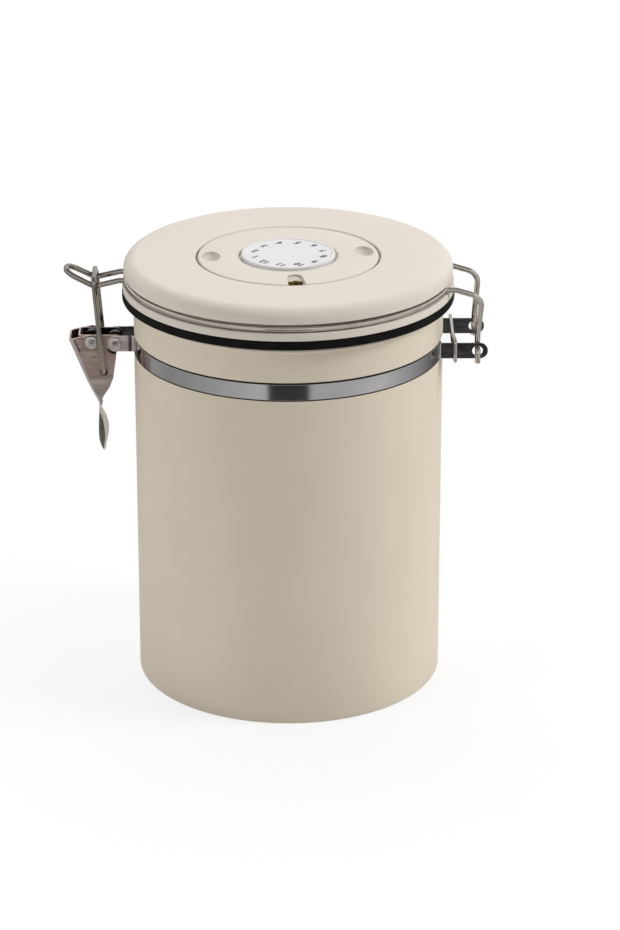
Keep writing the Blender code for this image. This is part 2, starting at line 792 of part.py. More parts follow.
def lever_outline(fold_x):
    """Side view of the lever, with room round its tail."""
    span = abs(LEVER_X - LATCH_EAR_X)
    margin = LEVER_FOLD
    outline = [(-LEVER_CORNER_X - STRIP_THICKNESS, LEVER_CORNER_Z)]
    outline += arc((0, 0), LEVER_DOME, LEVER_DOME_START, LEVER_DOME_END, 5)
    for across_share, down_share in LEVER_EDGE_SHARES:
        outline.append((span * across_share, -LEVER_NECK_Z * down_share))
    tail_bottom = -LEVER_NECK_Z - LEVER_TAIL - margin
    outline.append((span, -LEVER_NECK_Z - margin))
    outline.append((span, tail_bottom))
    outline.append((-margin, tail_bottom))
    outline.append((fold_x(-LEVER_NECK_Z) - LEVER_LOW_ROOM, -LEVER_NECK_Z))
    return outline


def latch_link(group):
    inner_end = LATCH_EAR_Y - STRIP_THICKNESS
    corners = []
    for side in (-1, 1):
        eye = [
            ((LINK_EYE_X, side * inner_end, LINK_EYE_Z), 0),
            ((LINK_EYE_X, side * LINK_HALF, LINK_EYE_Z), LINK_EYE_BEND),
            ((-LINK_BAR_X, side * LINK_HALF, LINK_BAR_Z), LINK_BEND),
        ]
        corners += eye if side < 0 else reversed(eye)
    return wire("latch_link", rounded_path(corners), LINK_WIRE, group, Finish.WARM_STEEL)


def bail_half(side):
    """Corners of half of the bail, from its hook to the tip of its tongue."""
    shoulder_x = HINGE_X + BAIL_SHOULDER_REACH
    shoulder_z = BAIL_RING_Z - BAIL_SHOULDER_DROP
    hinge_angle = math.asin(BAIL_SHOULDER_Y / BAIL_RING_RADIUS)
    latch_angle = math.pi - math.asin(TONGUE_Y / BAIL_RING_RADIUS)
    leg_top = HINGE_Z + BAIL_LEG_STRAIGHT
    corners = [
        ((HINGE_X, side * BAIL_HOOK_Y, HINGE_Z - BAIL_HOOK_LENGTH), 0),
        ((HINGE_X, side * BAIL_HOOK_Y, HINGE_Z), BAIL_BEND),
        ((HINGE_X, side * BAIL_LEG_Y, HINGE_Z), BAIL_BEND),
        ((HINGE_X, side * BAIL_LEG_Y, leg_top), BAIL_KINK),
        ((shoulder_x, side * BAIL_SHOULDER_Y, shoulder_z), BAIL_SHOULDER_BEND),
        ((LID_FLANGE_RADIUS, side * BAIL_SHOULDER_Y, BAIL_RING_Z), BAIL_KINK),
    ]
    for step in range(BAND_STEPS + 1):
        angle = hinge_angle + (latch_angle - hinge_angle) * step / BAND_STEPS
        bend = BAIL_KINK if step in (0, BAND_STEPS) else 0
        corners.append((polar(BAIL_RING_RADIUS, side * angle, BAIL_RING_Z), bend))
    tongue_start = LID_FLANGE_RADIUS + TONGUE_CLEAR_OF_LID
    tip = BAIL_RING_RADIUS + TONGUE_LENGTH
    corners += [
        ((-tongue_start, side * TONGUE_Y, BAIL_RING_Z), BAIL_KINK),
        ((-LINK_BAR_X, side * TONGUE_Y, TONGUE_Z), TONGUE_DIP_BEND),
        ((-tip, side * TONGUE_Y * TONGUE_TIP_WIDTH_SHARE, TONGUE_Z + TONGUE_RISE), TONGUE_TIP_BEND),
    ]
    return corners


def lid_bail(group):
    front = bail_half(-1)
    rear = bail_half(1)
    rear.reverse()
    return wire("lid_bail", rounded_path(front + rear), BAIL_WIRE, group, Finish.WARM_STEEL)


def lid_shell(group, cutters):
    top_inner = LID_TOP - LID_WALL
    side_inner = LID_GROOVE_RADIUS - LID_WALL
    flange_inner = LID_FLANGE_RADIUS - LID_FLANGE_WIDTH
    flange_top = LID_BOTTOM + LID_WALL
    edge_centre = (LID_SKIRT_RADIUS - LID_EDGE, LID_TOP - LID_EDGE)
    well_outer = WELL_RADIUS + LID_WALL
    profile = [
        (0, CHAMBER_TOP),
        (WELL_RADIUS, CHAMBER_TOP),
        (WELL_RADIUS, LEDGE_BOTTOM),
        (LEDGE_RADIUS, LEDGE_BOTTOM),
        (LEDGE_RADIUS, LEDGE_TOP),
        (WELL_RADIUS, LEDGE_TOP),
        (WELL_RADIUS, LID_TOP - COVER_EDGE / 2),
        (WELL_RADIUS + COVER_EDGE / 2, LID_TOP),
    ]
    profile += arc(edge_centre, LID_EDGE, math.pi / 2, 0, 4)
    profile += [
        (LID_SKIRT_RADIUS, LID_SKIRT_BOTTOM),
        (LID_GROOVE_RADIUS, LID_SKIRT_BOTTOM),
        (LID_GROOVE_RADIUS, LID_FLANGE_TOP),
        (LID_FLANGE_RADIUS, LID_FLANGE_TOP),
        (LID_FLANGE_RADIUS, LID_BOTTOM),
        (flange_inner, LID_BOTTOM),
        (flange_inner, flange_top),
        (side_inner, flange_top),
        (side_inner, LID_SKIRT_BOTTOM + LID_WALL),
        (side_inner - LID_WALL, top_inner),
        (well_outer, top_inner),
        (well_outer, CHAMBER_BOTTOM),
        (0, CHAMBER_BOTTOM),
    ]
    part = turned("lid_shell", profile, group, Finish.LID, BIG_STEPS)
    post_top = top_inner + LID_WALL / 2
    post_length = post_top - POST_BOTTOM
    bore_depth = SCREW_LENGTH + GAP
    for index in range(SCREW_COUNT):
        place = polar(POST_CIRCLE, screw_angle(index), 0)
        post_middle = place + Vector((0, 0, POST_BOTTOM + post_length / 2))
        bore_middle = place + Vector((0, 0, POST_BOTTOM + bore_depth / 2 - CUT_OVERRUN / 2))
        label = str(index + 1)
        post = cylinder("post_" + label, POST_RADIUS, post_middle, post_length, "Z", cutters, POST_STEPS)
        bore = cylinder(
            "post_bore_" + label,
            SCREW_SHANK + GAP,
            bore_middle,
            bore_depth + CUT_OVERRUN,
            "Z",
            cutters,
            SMALL_STEPS,
        )
        combine(part, post, "UNION")
        combine(part, bore, "DIFFERENCE")
    floor_middle = (CHAMBER_TOP + CHAMBER_BOTTOM) / 2
    floor_depth = CHAMBER_FLOOR + CUT_OVERRUN
    stem_hole = cylinder(
        "valve_stem_hole", FLAP_STEM + GAP, (0, 0, floor_middle), floor_depth, "Z", cutters
    )
    combine(part, stem_hole, "DIFFERENCE")
    for index in range(VALVE_SEAT_HOLES):
        angle = 2 * math.pi * index / VALVE_SEAT_HOLES
        place = polar(VALVE_SEAT_CIRCLE, angle, floor_middle)
        hole = cylinder(
            "valve_hole_" + str(index + 1), VALVE_SEAT_HOLE, place, floor_depth, "Z", cutters, SMALL_STEPS
        )
        combine(part, hole, "DIFFERENCE")
    slot_low = LEDGE_BOTTOM - GAP
    slot_high = LEDGE_TOP + GAP
    for index in range(LUG_COUNT):
        middle = LUG_START + COVER_TWIST + 2 * math.pi * index / LUG_COUNT
        reach = COVER_SKIRT_RADIUS + LUG_REACH + GAP
        outline = sector(
            LEDGE_RADIUS - CUT_OVERRUN, reach, middle, LUG_ANGLE + 2 * LUG_CLEAR_ANGLE
        )
        slot = extruded("entry_slot_" + str(index + 1), outline, slot_low, slot_high, cutters)
        combine(part, slot, "DIFFERENCE")
    return part


def screw_angle(index):
    return math.pi / SCREW_COUNT + 2 * math.pi * index / SCREW_COUNT


def lid_gasket(group):
    inner = LINER_RADIUS + GAP
    edge = GASKET_EDGE
    profile = [
        (inner, GASKET_TOP),
        (GASKET_RADIUS - edge, GASKET_TOP),
        (GASKET_RADIUS, GASKET_TOP - edge),
        (GASKET_RADIUS, GASKET_BOTTOM + edge),
        (GASKET_RADIUS - edge, GASKET_BOTTOM),
        (inner, GASKET_BOTTOM),
    ]
    return turned("lid_gasket", profile, group, Finish.RUBBER, BIG_STEPS, closed=True)


def lid_liner(group, cutters):
    lip_radius = LINER_RADIUS + LINER_LIP
    lip_low = LINER_LIP_TOP - LINER_LIP_HEIGHT
    inner = LINER_RADIUS - LINER_WALL
    floor_radius = LINER_RADIUS - LINER_TAPER
    profile = [
        (FILTER_OPENING, LINER_FLOOR),
        (floor_radius - LINER_WALL, LINER_FLOOR),
        (inner, lip_low),
        (inner, LINER_TOP),
        (LINER_RADIUS, LINER_TOP),
        (LINER_RADIUS, LINER_LIP_TOP),
        (lip_radius, LINER_LIP_TOP),
        (lip_radius, lip_low),
        (floor_radius, LINER_BOTTOM),
        (FILTER_OPENING, LINER_BOTTOM),
    ]
    part = turned("lid_liner", profile, group, Finish.LID, MID_STEPS, closed=True)
    depth = LINER_WALL + CUT_OVERRUN
    for index in range(SCREW_COUNT):
        place = polar(POST_CIRCLE, screw_angle(index), (LINER_BOTTOM + LINER_FLOOR) / 2)
        hole = cylinder(
            "liner_hole_" + str(index + 1), SCREW_SHANK + GAP, place, depth, "Z", cutters, SMALL_STEPS
        )
        combine(part, hole, "DIFFERENCE")
    return part


def liner_screw(index, group):
    head_top = LINER_BOTTOM - GAP
    tip = POST_BOTTOM + SCREW_LENGTH
    profile = [
        (0, tip),
        (SCREW_SHANK / 2, tip),
        (SCREW_SHANK, tip - SCREW_SHANK),
        (SCREW_SHANK, head_top),
        (SCREW_HEAD, head_top),
        (SCREW_HEAD - SCREW_HEAD_HEIGHT / 2, head_top - SCREW_HEAD_HEIGHT),
        (0, head_top - SCREW_HEAD_HEIGHT),
    ]
    part = turned("liner_screw_" + str(index + 1), profile, group, Finish.STEEL, SMALL_STEPS)
    part.location = polar(POST_CIRCLE, screw_angle(index), 0)
    return part


def filter_retainer(group, cutters):
    top = LINER_BOTTOM - GAP
    collar = FILTER_OPENING - GAP
    collar_inner = collar - FILTER_WALL
    profile = [
        (0, top),
        (collar_inner, top),
        (collar_inner, LINER_FLOOR),
        (collar, LINER_FLOOR),
        (collar, top),
        (FILTER_OPENING + FILTER_FLANGE, top),
        (FILTER_OPENING + FILTER_FLANGE, top - FILTER_THICKNESS / 2),
        (FILTER_OPENING + FILTER_FLANGE - FILTER_THICKNESS / 2, top - FILTER_THICKNESS),
        (0, top - FILTER_THICKNESS),
    ]
    part = turned("filter_retainer", profile, group, Finish.LID, MID_STEPS)
    reach = collar_inner - FILTER_SLOT_MARGIN
    middle_z = top - FILTER_THICKNESS / 2
    half_count = int(reach / FILTER_SLOT_PITCH)
    for index in range(-half_count, half_count + 1):
        offset = index * FILTER_SLOT_PITCH
        half_length = math.sqrt(reach ** 2 - offset ** 2)
        size = (2 * half_length, FILTER_SLOT, FILTER_THICKNESS + CUT_OVERRUN)
        slot = box("filter_slot_" + str(index + half_count + 1), size, (0, offset, middle_z), 0, cutters)
        combine(part, slot, "DIFFERENCE")
    return part


def filter_disc(group):
    radius = FILTER_OPENING - FILTER_WALL - 2 * GAP
    bottom = LINER_BOTTOM
    profile = [
        (0, bottom + FELT_THICKNESS),
        (radius, bottom + FELT_THICKNESS),
        (radius, bottom),
        (0, bottom),
    ]
    return turned("filter_disc", profile, group, Finish.FELT, MID_STEPS)


def valve_flap(group):
    seat = CHAMBER_TOP + GAP
    bulb_top = CHAMBER_BOTTOM - FLAP_LIFT - GAP
    profile = [
        (0, seat + FLAP_THICKNESS * FLAP_MIDDLE_SHARE),
        (FLAP_STEM, seat + FLAP_THICKNESS * FLAP_NECK_SHARE),
        (FLAP_RADIUS, seat + FLAP_THICKNESS / 2),
        (FLAP_RADIUS, seat),
        (FLAP_STEM, seat),
        (FLAP_STEM, bulb_top),
        (FLAP_BULB, bulb_top),
        (FLAP_STEM, bulb_top - FLAP_BULB_HEIGHT),
        (0, bulb_top - FLAP_BULB_HEIGHT),
    ]
    return turned("valve_flap", profile, group, Finish.RUBBER, POST_STEPS)


def valve_cover(group, cutters):
    skirt_inner = COVER_SKIRT_RADIUS - COVER_SKIRT_WALL
    skirt_bottom = COVER_FLANGE_BOTTOM - COVER_SKIRT_DEPTH
    hole = DIAL_STEM + GAP
    profile = [
        (hole, DIAL_FLOOR),
        (DIAL_RECESS, DIAL_FLOOR),
        (DIAL_RECESS, COVER_TOP - COVER_EDGE / 2),
        (DIAL_RECESS + COVER_EDGE / 2, COVER_TOP),
        (COVER_RADIUS - COVER_EDGE, COVER_TOP),
        (COVER_RADIUS - COVER_EDGE / 4, COVER_TOP - COVER_EDGE / 4),
        (COVER_RADIUS, COVER_TOP - COVER_EDGE),
        (COVER_RADIUS, COVER_FLANGE_BOTTOM),
        (COVER_SKIRT_RADIUS, COVER_FLANGE_BOTTOM),
        (COVER_SKIRT_RADIUS, skirt_bottom),
        (skirt_inner, skirt_bottom),
        (skirt_inner, COVER_UNDERSIDE),
        (hole, COVER_UNDERSIDE),
    ]
    part = turned("valve_cover", profile, group, Finish.LID, MID_STEPS, closed=True)
    for index in range(LUG_COUNT):
        middle = LUG_START + 2 * math.pi * index / LUG_COUNT
        lug_inner = COVER_SKIRT_RADIUS - COVER_SKIRT_WALL / 2
        outline = sector(lug_inner, COVER_SKIRT_RADIUS + LUG_REACH, middle, LUG_ANGLE)
        lug = extruded("lug_" + str(index + 1), outline, LUG_TOP - LUG_HEIGHT, LUG_TOP, cutters)
        combine(part, lug, "UNION")
    for index, angle in enumerate(DIMPLE_ANGLES):
        ball_radius = (DIMPLE_RADIUS ** 2 + DIMPLE_DEPTH ** 2) / (2 * DIMPLE_DEPTH)
        place = polar(DIMPLE_CIRCLE, angle, COVER_TOP + ball_radius - DIMPLE_DEPTH)
        dimple = ball("dimple_" + str(index + 1), ball_radius, place, cutters)
        dimple.rotation_euler = (0, 0, angle)
        dimple.scale = (1, DIMPLE_STRETCH_SHARE, 1)
        combine(part, dimple, "DIFFERENCE")
    combine(part, notch_ramp(cutters), "DIFFERENCE")
    hole_end = COVER_RADIUS + CUT_OVERRUN
    hole_start = COVER_RADIUS - NOTCH_HOLE_START
    hole_low = COVER_UNDERSIDE - CUT_OVERRUN
    size = (hole_end - hole_start, NOTCH_HOLE_WIDTH, COVER_TOP + CUT_OVERRUN - hole_low)
    place = polar((hole_end + hole_start) / 2, NOTCH_ANGLE, (COVER_TOP + CUT_OVERRUN + hole_low) / 2)
    combine(part, box("vent_slot", size, place, NOTCH_ANGLE, cutters), "DIFFERENCE")
    return part


def ball(name, radius, place, group):
    mesh = bpy.data.meshes.new(name)
    body = bmesh.new()
    bmesh.ops.create_uvsphere(body, u_segments=HOLE_STEPS, v_segments=BALL_STEPS, radius=radius)
    body.to_mesh(mesh)
    body.free()
    part = bpy.data.objects.new(name, mesh)
    part.location = place
    group.objects.link(part)
    return part


def notch_ramp(cutters):
    """Finger notch whose floor slopes down to the vent slot."""
    start = COVER_RADIUS - NOTCH_START
    end = COVER_RADIUS + CUT_OVERRUN
    half = NOTCH_WIDTH / 2
    round_half = NOTCH_INNER_WIDTH / 2
    outline = [(end, -half), (end, half)]
    outline += arc((start + round_half, 0), round_half, math.pi / 2, 3 * math.pi / 2, 6)
    ramp = extruded("notch_ramp", outline, 0, NOTCH_RAMP_DEPTH + CUT_OVERRUN, cutters)
    lean = math.atan2(NOTCH_RAMP_DEPTH, NOTCH_START)
    spin = Matrix.Rotation(NOTCH_ANGLE, 4, "Z")
    tilt = Matrix.Translation((start, 0, COVER_TOP)) @ Matrix.Rotation(lean, 4, "Y")
    back = Matrix.Translation((-start, 0, (NOTCH_RAMP_DEPTH + CUT_OVERRUN) / 2))
    ramp.matrix_world = spin @ tilt @ back
    return ramp


def date_dial(group):
    bore = SCREW_SHANK + GAP
    bore_top = DIAL_BOTTOM - GAP
    profile = [
        (0, DIAL_TOP),
        (DIAL_RADIUS - DIAL_CHAMFER, DIAL_TOP),
        (DIAL_RADIUS, DIAL_TOP - DIAL_CHAMFER / 2),
        (DIAL_RADIUS, DIAL_BOTTOM),
        (DIAL_STEM, DIAL_BOTTOM),
        (DIAL_STEM, DIAL_STEM_BOTTOM),
        (bore, DIAL_STEM_BOTTOM),
        (bore, bore_top),
        (0, bore_top),
    ]
    return turned("date_dial", profile, group, Finish.WHITE, MID_STEPS)


def dial_screw(group):
    head_top = DIAL_STEM_BOTTOM - GAP
    tip = head_top + DIAL_SCREW_DEPTH
    profile = [
        (0, tip),
        (SCREW_SHANK, tip),
        (SCREW_SHANK, head_top),
        (DIAL_SCREW_HEAD, head_top),
        (DIAL_SCREW_HEAD - DIAL_SCREW_HEIGHT / 2, head_top - DIAL_SCREW_HEIGHT),
        (0, head_top - DIAL_SCREW_HEIGHT),
    ]
    return turned("dial_screw", profile, group, Finish.STEEL, SMALL_STEPS)


def main():
    clear_scene()
    parts = new_collection("storage_canister")
    cutters = new_collection("cutters", hidden=True)

    lid_axis = pivot("lid_axis", (HINGE_X, 0, HINGE_Z), parts)
    cover_axis = pivot("cover_axis", (0, 0, COVER_TOP), parts, lid_axis)
    dial_axis = pivot("dial_axis", (0, 0, DIAL_TOP), parts, cover_axis)
    flap_axis = pivot("flap_axis", (0, 0, CHAMBER_TOP), parts, lid_axis)
    lever_axis = pivot("lever_axis", (LEVER_X, 0, LATCH_Z), parts)
    link_axis = pivot("link_axis", (LINK_EYE_X, 0, LINK_EYE_Z), parts, lever_axis)

    canister_body(parts)
    strap("strap_front", -1, parts, cutters)
    strap("strap_rear", 1, parts, cutters)
    hinge_ring(parts)
    latch_bracket(parts, cutters)
    for label, side in (("front", -1), ("rear", 1)):
        rivet("bracket_rivet_" + label, LATCH_EAR_X, BAND_MID, side, parts)
        rivet("lever_rivet_" + label, LEVER_X, LATCH_Z, side, parts)

    carry(latch_lever(parts, cutters), lever_axis)
    carry(latch_link(parts), link_axis)
    carry(lid_bail(parts), lid_axis)
    carry(lid_shell(parts, cutters), lid_axis)
    carry(lid_gasket(parts), lid_axis)
    carry(lid_liner(parts, cutters), lid_axis)
    for index in range(SCREW_COUNT):
        carry(liner_screw(index, parts), lid_axis)
    carry(filter_retainer(parts, cutters), lid_axis)
    carry(filter_disc(parts), lid_axis)
    carry(valve_flap(parts), flap_axis)
    carry(valve_cover(parts, cutters), cover_axis)
    carry(date_dial(parts), dial_axis)
    carry(dial_screw(parts), dial_axis)

    for part in parts.objects:
        if part.type == "MESH":
            shade(part.data)


main()
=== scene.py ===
"""Looks of the storage canister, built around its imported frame.

Metres, +Z up, origin at the centre of the base. Latch at -X, hinge at +X.
"""

import math

import bmesh
import bpy
from mathutils import Matrix, Vector


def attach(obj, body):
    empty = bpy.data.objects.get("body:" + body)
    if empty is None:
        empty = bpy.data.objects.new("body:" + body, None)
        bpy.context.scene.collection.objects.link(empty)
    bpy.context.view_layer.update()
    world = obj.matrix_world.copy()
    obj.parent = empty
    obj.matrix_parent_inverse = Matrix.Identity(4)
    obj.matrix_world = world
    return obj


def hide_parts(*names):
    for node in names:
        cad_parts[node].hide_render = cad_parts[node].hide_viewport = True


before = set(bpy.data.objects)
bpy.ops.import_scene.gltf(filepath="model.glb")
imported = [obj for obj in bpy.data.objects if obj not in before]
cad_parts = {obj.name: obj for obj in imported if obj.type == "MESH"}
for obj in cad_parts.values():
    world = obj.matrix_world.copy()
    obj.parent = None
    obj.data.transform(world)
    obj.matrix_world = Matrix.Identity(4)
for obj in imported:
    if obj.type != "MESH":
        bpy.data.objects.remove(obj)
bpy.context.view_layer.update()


# Sizes
GAP = 0.0003
BODY_RADIUS = 0.0610
BODY_HEIGHT = 0.1580
BODY_WALL = 0.0006
BODY_CORNER = 0.0014
RIM_BEAD = 0.0011
BASE_FOOT = 0.0541
BASE_HUB = 0.0326
BASE_CHANNEL = 0.0015

BAND_TOP = 0.1430
BAND_BOTTOM = 0.1366
BAND_MID = 0.1398
BAND_HALF = 0.0032
SHEET = 0.0008
BAND_CENTRE = BODY_RADIUS - SHEET / 2
GROOVE_RADIUS = BODY_RADIUS - SHEET - GAP
HINGE_X = 0.0741
HINGE_Z = 0.1405
HINGE_EAR_Y = 0.0145
HINGE_EAR_X = 0.0750
HINGE_HOLE = 0.0021
LATCH_EAR_Y = 0.0057
LATCH_EAR_X = -0.0685
LEVER_X = -0.0776
LATCH_Z = 0.1404
LEVER_PIVOT = (LEVER_X, 0, LATCH_Z)
EAR_BEND_X = -0.0624

FLANGE_RADIUS = 0.0652
SKIRT_RADIUS = 0.0647
LID_BOTTOM = 0.1619
GASKET_RADIUS = 0.0654
FLANGE_TOP = 0.1651
SKIRT_BOTTOM = 0.1683
LID_TOP = 0.1748
LID_EDGE = 0.0048
LID_WALL = 0.0020
WELL_RADIUS = 0.03635
LEDGE_RADIUS = 0.03265
LEDGE_TOP = 0.1719
LEDGE_BOTTOM = 0.1700
CHAMBER_TOP = 0.1660
CHAMBER_BOTTOM = 0.1644
COVER_TOP = 0.1745
COVER_RADIUS = 0.03545
DIAL_RECESS = 0.01945
DIAL_RADIUS = 0.01845
DIAL_TOP = 0.1755
DIAL_SINK = 0.0003
BAIL_RADIUS = 0.0640
BAIL_WIRE = 0.0011
BAIL_Z = 0.1665
GROOVE_WALL = BAIL_RADIUS - BAIL_WIRE - GAP
TONGUE_Y = 0.0058
TONGUE_Z = 0.1637
LINK_WIRE = 0.0010
LINK_HALF = 0.0083
LINK_BAR_X = 0.0761
LINK_BAR_Z = 0.16704
LINK_EYE_X = -0.072995
LINK_EYE_Z = 0.128403

SHEET_EDGE = 0.00018
RIVET_HOLE = 0.0018
LINK_HOLE = 0.0016
RIVET_HEAD = 0.00265
RIVET_SHANK = 0.0015
RIVET_RIM = 0.00012
RIVET_DOME = 0.00058
RING_WIRE = 0.0007
RING_BEND = 0.0011
GASKET_TOP = 0.1616
GASKET_BOTTOM = 0.1583
LINER_FLOOR = 0.1540
LINER_UNDER = 0.1521
RECESS_FLOOR = 0.1732

# Steps round the can, round smaller parts, and along the band and the bail
FINE_ROUND = 224
ROUND = 192
ARC_STEPS = 84
END_STEPS = 14
THROUGH_ONE = 0.004
THROUGH_ALL = 0.03
SAME_PLACE = 0.00002


def put(thing, **settings):
    """Set several properties at once."""
    for key, value in settings.items():
        setattr(thing, key, value)
    return thing


def polar(radius, angle, height):
    return Vector((radius * math.cos(angle), radius * math.sin(angle), height))


# Mesh tools
def add_object(name, data):
    piece = bpy.data.objects.new(name, data)
    bpy.context.scene.collection.objects.link(piece)
    return piece


def mesh_object(name, corners, faces, sharp=35):
    mesh = bpy.data.meshes.new(name)
    mesh.from_pydata([tuple(corner) for corner in corners], [], faces)
    body = bmesh.new()
    body.from_mesh(mesh)
    bmesh.ops.remove_doubles(body, verts=body.verts, dist=0.000002)
    bmesh.ops.recalc_face_normals(body, faces=body.faces)
    body.to_mesh(mesh)
    body.free()
    mesh.shade_smooth()
    mesh.set_sharp_from_angle(angle=math.radians(sharp))
    return add_object(name, mesh)


def arc(centre, radius, start, end, steps):
    """Points of an arc in a plane, both ends with it."""
    points = []
    for step in range(steps + 1):
        angle = start + (end - start) * step / steps
        points.append((centre[0] + radius * math.cos(angle), centre[1] + radius * math.sin(angle)))
    return points


def rounded_path(corners, steps=8, closed=False):
    """Path through (point, bend radius) pairs, each bend turned as an arc."""
    path = []
    count = len(corners)
    for index, (point, radius) in enumerate(corners):
        here = Vector(point)
        inside = closed or 0 < index < count - 1
        if radius <= 0 or not inside:
            path.append(here)
            continue
        before = (Vector(corners[index - 1][0]) - here).normalized()
        after = (Vector(corners[(index + 1) % count][0]) - here).normalized()
        half = before.angle(after) / 2
        if half > math.pi / 2 - 0.001:
            path.append(here)
            continue
        centre = here + (before + after).normalized() * (radius / math.sin(half))
        start = here + before * (radius / math.tan(half)) - centre
        end = here + after * (radius / math.tan(half)) - centre
        axis = start.cross(end).normalized()
        turn = math.pi - 2 * half
        for step in range(steps + 1):
            spin = Matrix.Rotation(turn * step / steps, 3, axis)
            path.append(centre + spin @ start)
    return path


def profile(rows, steps=6, closed=False):
    """Softened profile from (radius, height, bend radius) rows."""
    corners = [((radius, 0, height), bend) for radius, height, bend in rows]
    return [(point.x, point.z) for point in rounded_path(corners, steps, closed)]


def lathe(name, points, steps, closed=False):
    """Turn a profile of (radius, height) about Z."""
    corners = []
    rings = []
    for radius, height in points:
        if radius < 0.000001:
            rings.append([len(corners)] * steps)
            corners.append((0, 0, height))
            continue
        first = len(corners)
        rings.append(list(range(first, first + steps)))
        for step in range(steps):
            angle = 2 * math.pi * step / steps
            corners.append((radius * math.cos(angle), radius * math.sin(angle), height))
    pairs = list(zip(rings, rings[1:]))
    if closed:
        pairs.append((rings[-1], rings[0]))
    faces = []
    for low, high in pairs:
        for step in range(steps):
            after = (step + 1) % steps
            face = list(dict.fromkeys((low[step], low[after], high[after], high[step])))
            if len(face) > 2:
                faces.append(face)
    return mesh_object(name, corners, faces)


def skin(name, rings, closed, sharp):
    """Surface over rings of corners, with flat ends where it is open."""
    sides = len(rings[0])
    corners = [corner for ring in rings for corner in ring]
    faces = []
    for index in range(len(rings) if closed else len(rings) - 1):
        here = index * sides
        there = (here + sides) % len(corners)
        for step in range(sides):
            after = (step + 1) % sides
            faces.append((here + step, here + after, there + after, there + step))
    if not closed:
        faces.append(tuple(range(sides)))
        faces.append(tuple(range(len(corners) - sides, len(corners))))
    return mesh_object(name, corners, faces, sharp)


def tube(name, points, radius, sides=20, closed=False):
    """Round wire along points, with domed ends where it is open."""
    path = [Vector(points[0])]
    for point in points[1:]:
        if (Vector(point) - path[-1]).length > SAME_PLACE:
            path.append(Vector(point))
    if closed and (path[0] - path[-1]).length < SAME_PLACE:
        path.pop()
    count = len(path)
    tangents = []
    for index in range(count):
        before = path[index - 1] if closed or index else path[0]
        after = path[(index + 1) % count] if closed or index < count - 1 else path[-1]
        tangents.append((after - before).normalized())
    side = tangents[0].orthogonal().normalized()
    stations = []
    for index, centre in enumerate(path):
        if index:
            turn = tangents[index - 1].rotation_difference(tangents[index])
            side = (turn @ side).normalized()
        up = tangents[index].cross(side).normalized()
        stations.append((centre, side.copy(), up, radius))
    twist = 0.0
    if closed:
        first_side = stations[0][1]
        turned = tangents[-1].rotation_difference(tangents[0]) @ side
        twist = turned.angle(first_side)
        if turned.cross(first_side).dot(tangents[0]) < 0:
            twist = -twist
    else:
        for share in (0.30, 0.62, 0.88):
            reach = radius * share * 0.6
            narrow = radius * math.sqrt(1 - share ** 2)
            stations.insert(0, (path[0] - tangents[0] * reach, *stations[0][1:3], narrow))
            stations.append((path[-1] + tangents[-1] * reach, *stations[-1][1:3], narrow))
    rings = []
    for index, (centre, across, up, reach) in enumerate(stations):
        ring = []
        for step in range(sides):
            angle = 2 * math.pi * step / sides + twist * index / count
            ring.append(centre + (across * math.cos(angle) + up * math.sin(angle)) * reach)
        rings.append(ring)
    return skin(name, rings, closed, 60)


def round_the_can(radius, start, end, z, bend):
    """Corners along an arc round the can, with a bend where it starts and ends."""
    corners = []
    for step in range(ARC_STEPS + 1):
        angle = start + (end - start) * step / ARC_STEPS
        corners.append((polar(radius, angle, z), bend if step in (0, ARC_STEPS) else 0))
    return corners


def round_end(end, half, direction):
    """Stations of a strip's round end, from its middle outwards."""
    stations = []
    for step in range(END_STEPS + 1):
        angle = math.radians(87) * step / END_STEPS
        middle = end + Vector((direction * half * math.sin(angle), 0, 0))
        stations.append((middle, half * math.cos(angle)))
    return stations


def strip(name, corners, half, directions):
    """Upright sheet strip through corners, softened at its edges.

    It has a round end at each side, which points along +X (1) or -X (-1).
    """
    path = rounded_path(corners)
    stations = round_end(path[0], half, directions[0])
    stations.reverse()
    stations += [(point, half) for point in path[1:-1]]
    stations += round_end(path[-1], half, directions[1])
    rings = []
    for index, (middle, reach) in enumerate(stations):
        before = stations[max(index - 1, 0)][0]
        after = stations[min(index + 1, len(stations) - 1)][0]
        along = (after - before).normalized()
        across = Vector((-along.y, along.x, 0))
        soft = min(SHEET_EDGE, reach * 0.5)
        wide = SHEET / 2 - SHEET_EDGE
        tall = reach - soft
        ring = []
        for quarter, (x, z) in enumerate(((wide, tall), (-wide, tall), (-wide, -tall), (wide, -tall))):
            for step in range(4):
                angle = math.radians(90 * quarter + 30 * step)
                out = x + SHEET_EDGE * math.cos(angle)
                up = z + soft * math.sin(angle)
                ring.append(middle + across * out + Vector((0, 0, up)))
        rings.append(ring)
    return skin(name, rings, False, 40)


def basic_shape(name, make, **sizes):
    """Object of a shape that bmesh makes by itself."""
    mesh = bpy.data.meshes.new(name)
    body = bmesh.new()
    make(body, **sizes)
    body.to_mesh(mesh)
    body.free()
    return add_object(name, mesh)


def drum(radius, centre, length):
    """Plain upright round cutter."""
    sizes = {"radius1": radius, "radius2": radius, "depth": length}
    piece = basic_shape("drum", bmesh.ops.create_cone, cap_ends=True, segments=48, **sizes)
    return put(piece, location=centre)


def prism(name, outline, low, high):
    """Upright prism from an outline of (x, y)."""
    count = len(outline)
    corners = [(x, y, low) for x, y in outline] + [(x, y, high) for x, y in outline]
    faces = [tuple(range(count)), tuple(range(count, 2 * count))]
    for index in range(count):
        after = (index + 1) % count
        faces.append((index, after, count + after, count + index))
    return mesh_object(name, corners, faces)


def cut(piece, tool, operation="DIFFERENCE"):
    """Give a piece a boolean with a tool, which settle() removes later."""
    put(piece.modifiers.new("Cut", "BOOLEAN"), operation=operation, solver="EXACT", object=tool)
    return tool


